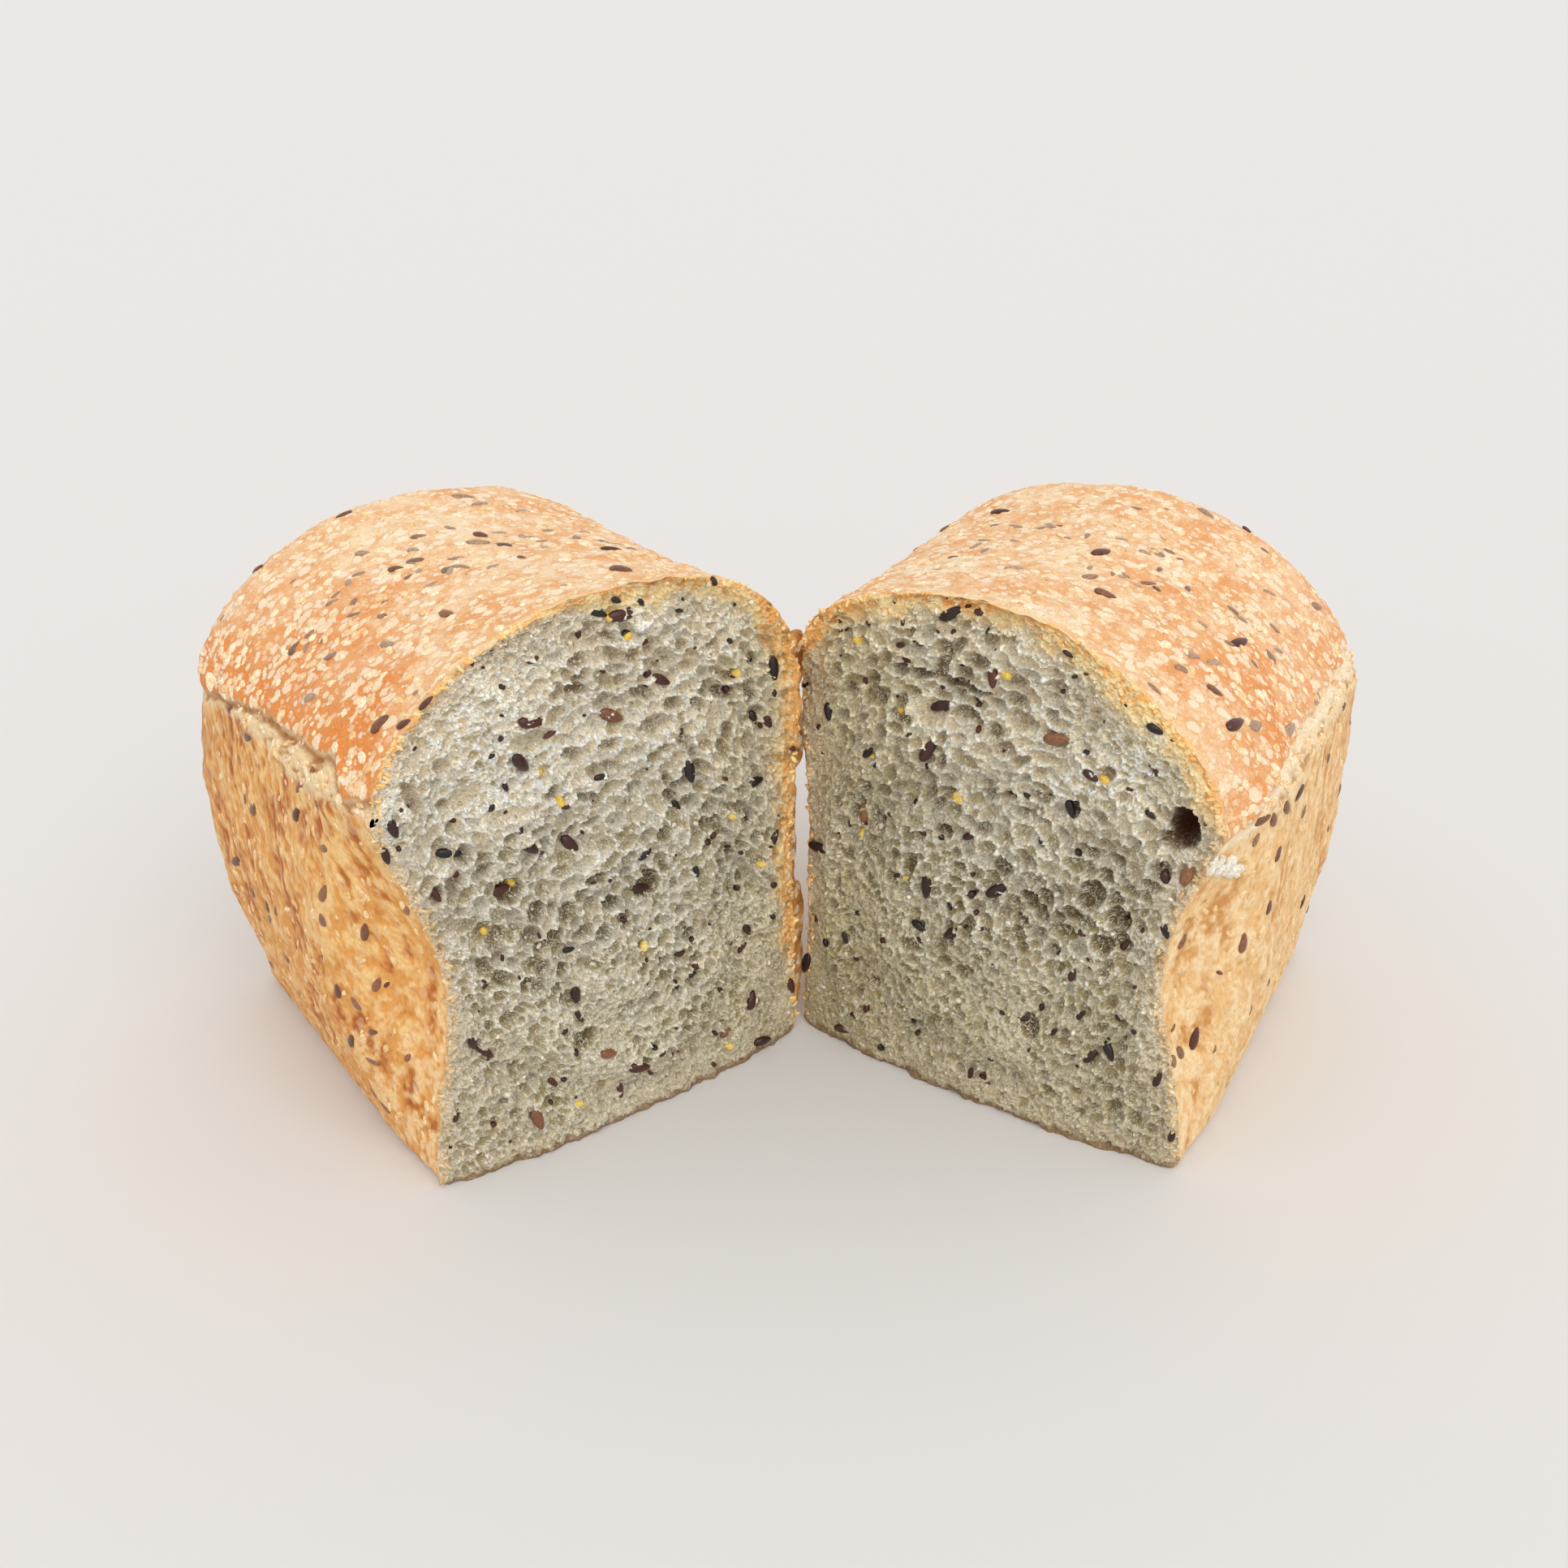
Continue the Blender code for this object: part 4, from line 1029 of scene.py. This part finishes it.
# The same for the seeds that stand out on the crust: dark and filmed ones on the domes, and the walls'.
CRUST_SEEN = {
    "left": {
        "wall": (
            (296, 868, 309, 862), (286, 1064, 299, 1058), (447, 1158, 452, 1136), (474, 1216, 479, 1210),
            (500, 1308, 506, 1299), (462, 1222, 468, 1206), (395, 1110, 402, 1092),
            (330, 1140, 338, 1122), (365, 1010, 369, 994), (432, 1290, 437, 1272), (350, 890, 358, 876),
            (310, 1002, 315, 990),
        ),
        "dark": (
            (414, 638, 435, 631), (310, 703, 325, 698), (479, 702, 497, 700), (583, 659, 602, 661),
            (740, 676, 766, 678), (752, 700, 778, 704), (457, 901, 478, 883), (490, 896, 506, 888),
            (527, 885, 546, 874), (543, 756, 559, 757),
        ),
        "filmed": (
            (568, 667, 607, 668), (471, 743, 481, 738), (470, 794, 487, 794), (690, 721, 702, 721),
            (428, 759, 444, 754), (374, 861, 390, 858), (509, 855, 522, 848), (438, 682, 457, 681),
            (546, 649, 562, 651), (581, 623, 602, 620), (505, 662, 527, 659), (556, 611, 584, 613),
            (635, 630, 655, 631), (393, 794, 403, 781), (297, 810, 304, 797), (272, 765, 277, 756),
            (382, 953, 388, 942), (600, 700, 616, 694), (660, 668, 676, 666), (356, 720, 366, 712),
        ),
    },
    "right": {
        "wall": (
            (1547, 1017, 1557, 989), (1579, 985, 1587, 1001), (1595, 987, 1605, 967),
            (1563, 997, 1571, 1017), (1571, 1061, 1579, 1041), (1529, 1174, 1533, 1150),
            (1497, 1196, 1507, 1200), (1470, 1294, 1476, 1266), (1442, 1272, 1448, 1260),
            (1649, 874, 1659, 858), (1563, 1162, 1567, 1174), (1602, 1120, 1608, 1102),
        ),
        "dark": (
            (1157, 654, 1174, 646), (1344, 683, 1368, 678), (1348, 729, 1377, 737),
            (1531, 648, 1543, 656), (1221, 633, 1244, 630), (1518, 795, 1535, 789),
            (1512, 897, 1531, 888), (1487, 845, 1506, 857),
        ),
        "filmed": (
            (1114, 669, 1129, 665), (1168, 687, 1185, 685), (1268, 654, 1305, 651),
            (1330, 710, 1353, 710), (1471, 625, 1500, 642), (1553, 675, 1564, 683),
            (1556, 727, 1572, 733), (1616, 745, 1628, 748), (1460, 806, 1479, 810),
            (1487, 816, 1508, 818), (1448, 822, 1469, 830), (1539, 895, 1554, 891),
            (1415, 842, 1433, 859), (1448, 687, 1458, 690), (1436, 627, 1442, 629),
            (1238, 702, 1263, 699), (1146, 702, 1162, 701), (1618, 868, 1626, 852),
            (1586, 905, 1594, 892), (1392, 625, 1408, 628),
        ),
    },
}
YELLOW_SEEN = {
    "left": (
        (907, 829), (902, 1005), (938, 1064), (628, 1087), (898, 1288), (595, 1147), (794, 1166),
        (714, 1360), (665, 952), (690, 987), (772, 784), (750, 760),
    ),
    "right": (
        (1059, 788), (1075, 931), (1180, 984), (1116, 1081), (1064, 1025), (1239, 831), (1110, 874),
        (1362, 961),
    ),
}
FLAX_BLACK = linear(24, 16, 16)
FLAX_RED = linear(78, 34, 24)
SEED_BROWN = linear(142, 94, 62)
SEED_TAUPE = linear(176, 148, 122)
GRIT_YELLOW = linear(230, 190, 70)
GRIT_PALE = linear(240, 214, 130)
CHIP_WHITE = linear(240, 234, 220)
GRAIN_CREAM = linear(250, 232, 198)
GRAIN_TOAST = linear(236, 190, 134)
# Image places of the torn flake of crumb that stands off the right half's shoulder.
FLAKE_SEEN = (
    (1486, 1062), (1492, 1056), (1498, 1064), (1504, 1058), (1510, 1066), (1516, 1072), (1522, 1076),
    (1500, 1070), (1508, 1074), (1526, 1070), (1490, 1070), (1514, 1062),
)


def seeds_between_ends(name, spots, half, kind, colour_dark, colour_light, raised, seed):
    """Flax seeds laid between the image places of their ends, on the torn face or on the dome."""
    grid = grids[half["name"]][kind]
    ends = np.asarray(spots, float)
    first, _ = seen_points(grid, ends[:, :2])
    second, _ = seen_points(grid, ends[:, 2:])
    _, out = seen_points(grid, 0.5 * (ends[:, :2] + ends[:, 2:]))
    if kind == "face":
        ahead = to_world(half, np.zeros(3)) - to_world(half, np.array([0.0, 1.0, 0.0]))
        out = 0.3 * out + 0.7 * ahead
    draw = np.random.default_rng(seed)
    long = np.clip(np.linalg.norm(second - first, axis=1) * 1.05, 2.0, 5.6)
    wide = np.clip(long * draw.uniform(0.38, 0.54, len(long)), 1.0, 2.4)
    middle = 0.5 * (first + second) + raised * out
    colours = mix(colour_dark, colour_light, draw.uniform(0, 1, len(long)) ** 1.5)
    sizes = np.stack([long, wide, 0.6 * wide], axis=-1)
    return strew(name, FLAX, middle, second - first, out, sizes, colours)


def strewn(draw, grid, half, count, low, margin=4):
    """Random grid points above a lowest height, with the way they face and a random direction each."""
    rows = draw.integers(margin, grid.shape[0] - margin, count)
    columns = draw.integers(margin, grid.shape[1] - margin, count)
    points = grid[rows, columns]
    out = outward(grid, half)[rows, columns]
    high_enough = points[:, 2] > low
    way = np.cross(out, draw.normal(0, 1, (count, 3)))
    return points[high_enough], out[high_enough], way[high_enough]


def strewn_over(draw, half, spread):
    """Random points over several grids; the spread lists each one's kind, count, height and margin."""
    own = grids[half["name"]]
    places = [strewn(draw, own[kind], half, count, low, margin) for kind, count, low, margin in spread]
    return [np.concatenate(part) for part in zip(*places)]


# %% Seeds in their own places
seed_pieces = []
grain_pieces = []
for half, seed in ((LEFT, 600), (RIGHT, 700)):
    side = half["name"]
    crust_seen = CRUST_SEEN[side]
    groups = (
        ("flax_face_", FLAX_SEEN[side], "face", FLAX_BLACK, FLAX_RED, 0.25),
        ("brown_face_", BROWN_SEEN[side], "face", SEED_BROWN, FLAX_RED, 0.2),
        ("flax_dome_", crust_seen["dark"], "dome", FLAX_RED, SEED_BROWN, 0.1),
        ("filmed_dome_", crust_seen["filmed"], "dome", SEED_TAUPE, SEED_BROWN, -0.15),
        ("flax_wall_", crust_seen["wall"], "wall", SEED_BROWN, FLAX_RED, -0.1),
    )
    for k, (name, spots, kind, dark, light, raised) in enumerate(groups):
        piece = seeds_between_ends(name + side, spots, half, kind, dark, light, raised, seed + k)
        seed_pieces.append(piece)

# %% Grits and loose crumbs
LOOSE_CRUMBS, SEED_CHIPS = 130, 110
EDGE_CRUMBS, EDGE_COLUMNS, OUTER_SHARE = 460, 8, 0.65


def uneven_sizes(draw, count, low, high, flat):
    """Length, width and thickness of small grains; the flatness is the thickness over the length."""
    long = draw.uniform(low, high, count)
    return np.stack([long, long * draw.uniform(0.6, 0.95, count), long * flat], axis=-1)


for half, seed in ((LEFT, 620), (RIGHT, 720)):
    side = half["name"]
    face = grids[side]["face"]
    draw = np.random.default_rng(seed)
    middle, out = seen_points(face, YELLOW_SEEN[side])
    way = np.cross(out, draw.normal(0, 1, out.shape))
    colours = mix(GRIT_YELLOW, GRIT_PALE, draw.uniform(0, 1, len(middle)))
    sizes = uneven_sizes(draw, len(middle), 1.6, 3.0, 0.6)
    grain_pieces.append(strew("grits_face_" + side, GRAIN, middle, way, out, sizes, colours))
    middle, out, way = strewn(draw, face, half, LOOSE_CRUMBS, 4, 12)
    colours = mix(CHIP_WHITE, CRUMB_MID, draw.uniform(0, 1, len(middle)))
    sizes = uneven_sizes(draw, len(middle), 0.6, 1.5, 0.6)
    grain_pieces.append(strew("crumbs_face_" + side, CHIP, middle, way, out, sizes, colours))
    middle, out, way = strewn(draw, face, half, SEED_CHIPS, 3, 10)
    sizes = uneven_sizes(draw, len(middle), 0.7, 2.2, 0.5)
    colours = mix(FLAX_BLACK, FLAX_RED, draw.uniform(0, 1, len(middle)))
    seed_pieces.append(strew("chips_face_" + side, CHIP, middle, way, out, sizes, colours))

# %% Crumbs that hang on the torn edge of the crust
for half, seed in ((LEFT, 640), (RIGHT, 740)):
    face = grids[half["name"]]["face"]
    draw = np.random.default_rng(seed)
    rows = draw.integers(8, face.shape[0] - 8, EDGE_CRUMBS)
    near = draw.integers(0, EDGE_COLUMNS, EDGE_CRUMBS)
    outer = draw.uniform(0, 1, EDGE_CRUMBS) < OUTER_SHARE
    columns = np.where(outer, face.shape[1] - 1 - near, near)
    middle, out = face[rows, columns], outward(face, half)[rows, columns]
    way = np.cross(out, draw.normal(0, 1, out.shape))
    pale = mix(SHRED_PALE, SHRED_DARK, draw.uniform(0, 0.7, EDGE_CRUMBS))
    baked = mix(CRUST_EDGE, CRUMB_AMBER, draw.uniform(0, 0.9, EDGE_CRUMBS))
    rim = half["tin_rim"]
    colours = mix(pale, baked, np.where(outer, blend(middle[:, 2], rim - 6, rim + 6), 1.0))
    sizes = uneven_sizes(draw, EDGE_CRUMBS, 0.6, 2.2, 0.35)
    sizes[:, 1] *= 0.6
    name = "edge_crumbs_" + half["name"]
    grain_pieces.append(strew(name, CHIP, middle - 0.1 * out, way, out, sizes, colours))

# %% Flake of crumb on the right shoulder
draw = np.random.default_rng(760)
middle, out = seen_points(grids["right"]["wall"], FLAKE_SEEN)
way = np.cross(out, draw.normal(0, 1, out.shape))
sizes = uneven_sizes(draw, len(middle), 2.0, 3.6, 0.7)
colours = mix(CHIP_WHITE, CRUMB_MID, 0.5 * draw.uniform(0, 1, len(middle)))
grain_pieces.append(strew("flake_right", CHIP, middle + 0.3 * out, way, out, sizes, colours))

# %% Seeds on the rest of the crust
for half, seed in ((LEFT, 800), (RIGHT, 900)):
    side = half["name"]
    draw = np.random.default_rng(seed)
    spread = (("dome", 34, 0, 90), ("wall", 24, 8, 4), ("hinge_wall", 24, 8, 4), ("end", 40, 8, 4))
    middle, out, way = strewn_over(draw, half, spread)
    way = np.where((draw.uniform(0, 1, len(way)) < 0.6)[:, None], 0.3 * way + np.array([0, 0, 1.0]), way)
    long = draw.uniform(2.6, 4.4, len(middle))
    sizes = np.stack([long, long * draw.uniform(0.45, 0.6, len(long)), np.full(len(long), 1.0)], axis=-1)
    film = draw.uniform(0, 1, len(long)) ** 0.6 * np.where(middle[:, 2] < half["tin_rim"], 0.3, 1.0)
    colours = mix(mix(FLAX_RED, SEED_BROWN, draw.uniform(0, 1, len(long))), SEED_TAUPE, film)
    name = "flax_crust_" + side
    seed_pieces.append(strew(name, FLAX, middle - 0.22 * out, way, out, sizes, colours))
    spread = (("dome", 1000, 0, 4), ("wall", 260, 6, 4), ("hinge_wall", 120, 6, 4), ("end", 200, 6, 4))
    middle, out, way = strewn_over(draw, half, spread)
    upright = (middle[:, 2] < half["tin_rim"])[:, None]
    way = np.where(upright, 0.4 * way + np.array([0, 0, 1.0]), way)
    on_dome = mix(GRAIN_CREAM, GRAIN_TOAST, draw.uniform(0, 1, len(middle)))
    on_wall = mix(WALL_LIGHT["right"], GRAIN_TOAST, draw.uniform(0, 1, len(middle)))
    colours = np.where(upright, on_wall, on_dome)
    sizes = uneven_sizes(draw, len(middle), 1.2, 3.0, 0.30)
    sizes[:, 1] *= np.where(upright[:, 0], 0.65, 1.0)
    grain_pieces.append(strew("grains_crust_" + side, GRAIN, middle - 0.12 * out, way, out, sizes, colours))

# %% [markdown]
# ## Materials
#
# Crust and crumb carry their main colours in a colour attribute that was worked
# out above, because those colours follow the shape; in the crumb they include its
# painted light and shade. The shaders add what is finer than the grid: pale specks
# of bran in the crust, dark pores as painted shade and white threads as painted
# light in the crumb, and a small bump. The attribute's fourth value scales those
# specks, pores and threads. Patterns read the pieces' own surface coordinates, in
# millimetres.

# %% Material helpers
def new_material(name, roughness):
    """A material with its principled shader and node tree."""
    material = bpy.data.materials.new(name)
    material.use_nodes = True
    tree = material.node_tree
    shader = tree.nodes["Principled BSDF"]
    shader.inputs["Roughness"].default_value = roughness
    return material, tree, shader


def add_node(tree, kind, links=(), **values):
    """A node with its values set by name and its inputs linked from (input, socket) pairs."""
    node = tree.nodes.new("ShaderNode" + kind)
    for key, value in values.items():
        if hasattr(node, key):
            setattr(node, key, value)
        else:
            node.inputs[key.replace("_", " ")].default_value = value
    for target, socket in links:
        tree.links.new(socket, node.inputs[target])
    return node


def attribute(tree, name, output):
    """An attribute's socket."""
    return add_node(tree, "Attribute", attribute_name=name).outputs[output]


def surface_coordinates(tree):
    """The piece's own surface coordinates, back in millimetres."""
    scale = add_node(tree, "VectorMath", [(0, attribute(tree, "surface", "Vector"))], operation="SCALE")
    scale.inputs["Scale"].default_value = 1000.0
    return scale.outputs["Vector"]


def ramp(tree, socket, low, high, start=0.0, end=1.0):
    """A value mapped smoothly from low..high to start..end."""
    node = add_node(tree, "MapRange", [("Value", socket)], interpolation_type="SMOOTHSTEP")
    node.inputs["From Min"].default_value = low
    node.inputs["From Max"].default_value = high
    node.inputs["To Min"].default_value = start
    node.inputs["To Max"].default_value = end
    return node.outputs["Result"]


def blend_colours(tree, share, first, second, kind="MIX"):
    """Two colours mixed by a share; a colour may be a socket or a tuple."""
    node = add_node(tree, "Mix", data_type="RGBA", blend_type=kind)
    for socket, value in ((node.inputs[0], share), (node.inputs[6], first), (node.inputs[7], second)):
        if hasattr(value, "is_linked"):
            tree.links.new(value, socket)
        else:
            socket.default_value = value
    return node.outputs[2]


def math_node(tree, operation, first, second):
    """A math node; each input may be a socket or a number."""
    node = add_node(tree, "Math", operation=operation)
    for socket, value in zip(node.inputs, (first, second)):
        if hasattr(value, "is_linked"):
            tree.links.new(value, socket)
        else:
            socket.default_value = value
    return node.outputs[0]


def specks(tree, place, scale, fullness, softness):
    """Flat specks: Voronoi cells whose own random value says how large the speck in them is."""
    cells = add_node(tree, "TexVoronoi", [("Vector", place)], Scale=scale, Randomness=1.0)
    own = add_node(tree, "SeparateColor", [("Color", cells.outputs["Color"])]).outputs[0]
    size = math_node(tree, "MULTIPLY", own, fullness)
    left = math_node(tree, "SUBTRACT", size, cells.outputs["Distance"])
    return ramp(tree, left, 0.0, softness)


def bent_place(tree, place, scale, reach):
    """Coordinates pushed about by noise, so that round specks become uneven ones."""
    noise = add_node(tree, "TexNoise", [("Vector", place)], Scale=scale, Detail=1.0)
    centred = add_node(tree, "VectorMath", [(0, noise.outputs["Color"])], operation="SUBTRACT")
    centred.inputs[1].default_value = (0.5, 0.5, 0.5)
    push = add_node(tree, "VectorMath", [(0, centred.outputs[0])], operation="SCALE")
    push.inputs["Scale"].default_value = reach
    return add_node(tree, "VectorMath", [(0, place), (1, push.outputs[0])], operation="ADD").outputs[0]


def set_bump(tree, shader, height, distance, strength):
    """Bump from a height socket, its distance in metres."""
    bump = add_node(tree, "Bump", [("Height", height)], Distance=distance, Strength=strength)
    tree.links.new(bump.outputs["Normal"], shader.inputs["Normal"])


# %% Crust material
FLECK_CREAM = (0.93, 0.80, 0.60, 1)
TOASTED = (0.60, 0.29, 0.10, 1)
PORE_BROWN = (0.34, 0.15, 0.06, 1)


def crust_material():
    """Baked crust: the tone attribute, cream flecks, small brown pores and a grainy bump."""
    material, tree, shader = new_material("baked_crust", 0.62)
    shader.inputs["Specular IOR Level"].default_value = 0.35
    place = surface_coordinates(tree)
    fine = add_node(tree, "TexNoise", [("Vector", place)], Scale=1.7, Detail=3.0, Roughness=0.6)
    broad = add_node(tree, "TexNoise", [("Vector", place)], Scale=0.35, Detail=1.0)
    crooked = bent_place(tree, place, 1.1, 0.9)
    amount = attribute(tree, "tone", "Alpha")
    domed = ramp(tree, amount, 0.5, 0.9)
    pale = math_node(tree, "MULTIPLY", specks(tree, crooked, 0.38, 0.70, 0.09), domed)
    small = math_node(tree, "MULTIPLY", specks(tree, crooked, 0.72, 0.64, 0.10), amount)
    dark = specks(tree, crooked, 0.42, 0.20, 0.06)
    shade = ramp(tree, fine.outputs[0], 0.30, 0.70, 0.86, 1.08)
    tone = blend_colours(tree, 1.0, attribute(tree, "tone", "Color"), shade, "MULTIPLY")
    tone = blend_colours(tree, ramp(tree, broad.outputs[0], 0.55, 0.75, 0, 0.25), tone, TOASTED)
    tone = blend_colours(tree, math_node(tree, "MULTIPLY", small, 0.40), tone, FLECK_CREAM)
    tone = blend_colours(tree, math_node(tree, "MULTIPLY", pale, 0.70), tone, FLECK_CREAM)
    tone = blend_colours(tree, math_node(tree, "MULTIPLY", dark, 0.50), tone, PORE_BROWN)
    tree.links.new(tone, shader.inputs["Base Color"])
    raised = math_node(tree, "MULTIPLY", pale, 0.6)
    height = math_node(tree, "ADD", math_node(tree, "MULTIPLY", fine.outputs[0], 0.9), raised)
    set_bump(tree, shader, height, 0.0005, 0.7)
    return material


# %% Crumb material
# Painted shade of the fine pores, and painted light on the thin crumb walls.
PORE_OLIVE = (0.30, 0.24, 0.12, 1)
THREAD_WHITE = (0.98, 0.92, 0.76, 1)


def crumb_material():
    """Open crumb: the tone attribute, fine pores darkened as painted shade, and white threads along the
    level lines of a noise as painted light.
    """
    material, tree, shader = new_material("open_crumb", 0.8)
    shader.inputs["Specular IOR Level"].default_value = 0.2
    place = surface_coordinates(tree)
    fine = add_node(tree, "TexNoise", [("Vector", place)], Scale=2.6, Detail=3.0, Roughness=0.65)
    crooked = bent_place(tree, place, 1.6, 0.7)
    open_share = attribute(tree, "tone", "Alpha")
    pores = math_node(tree, "MULTIPLY", specks(tree, crooked, 1.15, 0.62, 0.22), open_share)
    threads = add_node(tree, "TexNoise", [("Vector", crooked)], Scale=0.95, Detail=2.0, Distortion=1.2)
    off_line = math_node(tree, "ABSOLUTE", math_node(tree, "SUBTRACT", threads.outputs[0], 0.52), 0.0)
    shade = ramp(tree, fine.outputs[0], 0.30, 0.70, 0.80, 1.14)
    tone = blend_colours(tree, 1.0, attribute(tree, "tone", "Color"), shade, "MULTIPLY")
    # Painted shade: pores too small for the grid are darkened.
    tone = blend_colours(tree, math_node(tree, "MULTIPLY", pores, 0.44), tone, PORE_OLIVE)
    # Painted light: thin walls along the noise's level lines are whitened.
    white = math_node(tree, "MULTIPLY", ramp(tree, off_line, 0.010, 0.055, 0.78, 0.0), open_share)
    tone = blend_colours(tree, white, tone, THREAD_WHITE)
    tree.links.new(tone, shader.inputs["Base Color"])
    dents = math_node(tree, "MULTIPLY", pores, 0.8)
    height = math_node(tree, "SUBTRACT", math_node(tree, "ADD", fine.outputs[0], white), dents)
    set_bump(tree, shader, height, 0.0005, 0.8)
    return material


# %% Seed and grain materials
def seed_material(name, roughness, specular, bump_scale):
    """A seed coat: the tone attribute with fine mottling and a soft shine."""
    material, tree, shader = new_material(name, roughness)
    shader.inputs["Specular IOR Level"].default_value = specular
    place = surface_coordinates(tree)
    fine = add_node(tree, "TexNoise", [("Vector", place)], Scale=bump_scale, Detail=3.0)
    shade = ramp(tree, fine.outputs[0], 0.3, 0.7, 0.75, 1.2)
    tone = blend_colours(tree, 1.0, attribute(tree, "tone", "Color"), shade, "MULTIPLY")
    tree.links.new(tone, shader.inputs["Base Color"])
    set_bump(tree, shader, fine.outputs[0], 0.0002, 0.5)
    return material


crust = crust_material()
crumb = crumb_material()
flax_coat = seed_material("flax_coat", 0.28, 0.45, 2.0)
grain_coat = seed_material("grain_coat", 0.65, 0.3, 2.5)

# %% [markdown]
# ## Who stands for what
#
# The solid of the loaf stays in the frame for its mass and collision, and these
# pieces are what is seen of it. Each rides on the loaf's one body and takes its
# material.

# %% Dressing the frame
def dress(pieces, material):
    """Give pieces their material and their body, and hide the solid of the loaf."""
    for piece in pieces:
        piece.data.materials.append(material)
        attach(piece, "root")
        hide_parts("loaf")


dress(left_faces + right_faces, crumb)
dress(crust_pieces + web_pieces, crust)
dress(seed_pieces, flax_coat)
dress(grain_pieces, grain_coat)

# %% [markdown]
# ## Floor and light
#
# The light is soft and comes from all round, with a little more from the viewer's
# side and from above, so the torn faces are bright and the shadows are pale. A sun
# with a wide angle does the work of a large soft box and needs no distance.

# %% Floor and light
FLOOR_SIDE = 40.0
FLOOR_TONE = (0.70, 0.685, 0.675, 1)
KEY_TOWARDS, KEY_STRENGTH, KEY_SPREAD = (0.25, -0.85, 1.0), 1.15, 60
SKY_TONE, SKY_STRENGTH = (1.0, 0.99, 0.975, 1), 0.90
floor_mesh = bpy.data.meshes.new("floor")
half_side = FLOOR_SIDE / 2
corners = [(x * half_side, y * half_side, 0) for x, y in ((-1, -1), (1, -1), (1, 1), (-1, 1))]
floor_mesh.from_pydata(corners, [], [(0, 1, 2, 3)])
floor = bpy.data.objects.new("floor", floor_mesh)
bpy.context.scene.collection.objects.link(floor)
floor_material, _, floor_shader = new_material("floor", 0.9)
floor_shader.inputs["Base Color"].default_value = FLOOR_TONE
floor_mesh.materials.append(floor_material)


def sun_light(name, towards, strength, spread, colour):
    """A sun as wide as a soft box, shining from a direction; its spread is an angle in degrees."""
    data = bpy.data.lights.new(name, "SUN")
    data.energy = strength
    data.angle = math.radians(spread)
    data.color = colour
    light = bpy.data.objects.new(name, data)
    flat = math.hypot(towards[0], towards[1])
    heading = math.atan2(towards[1], towards[0]) + math.pi / 2
    light.rotation_euler = (math.atan2(flat, towards[2]), 0, heading)
    bpy.context.scene.collection.objects.link(light)


sun_light("key", KEY_TOWARDS, KEY_STRENGTH, KEY_SPREAD, (1.0, 0.985, 0.96))

world = bpy.data.worlds.new("room")
world.use_nodes = True
world.node_tree.nodes["Background"].inputs["Color"].default_value = SKY_TONE
world.node_tree.nodes["Background"].inputs["Strength"].default_value = SKY_STRENGTH
bpy.context.scene.world = world
bpy.context.scene.view_settings.view_transform = "Standard"

# %% Size of the solid's box
print("solid's box:", np.round(cad_box, 4).tolist())
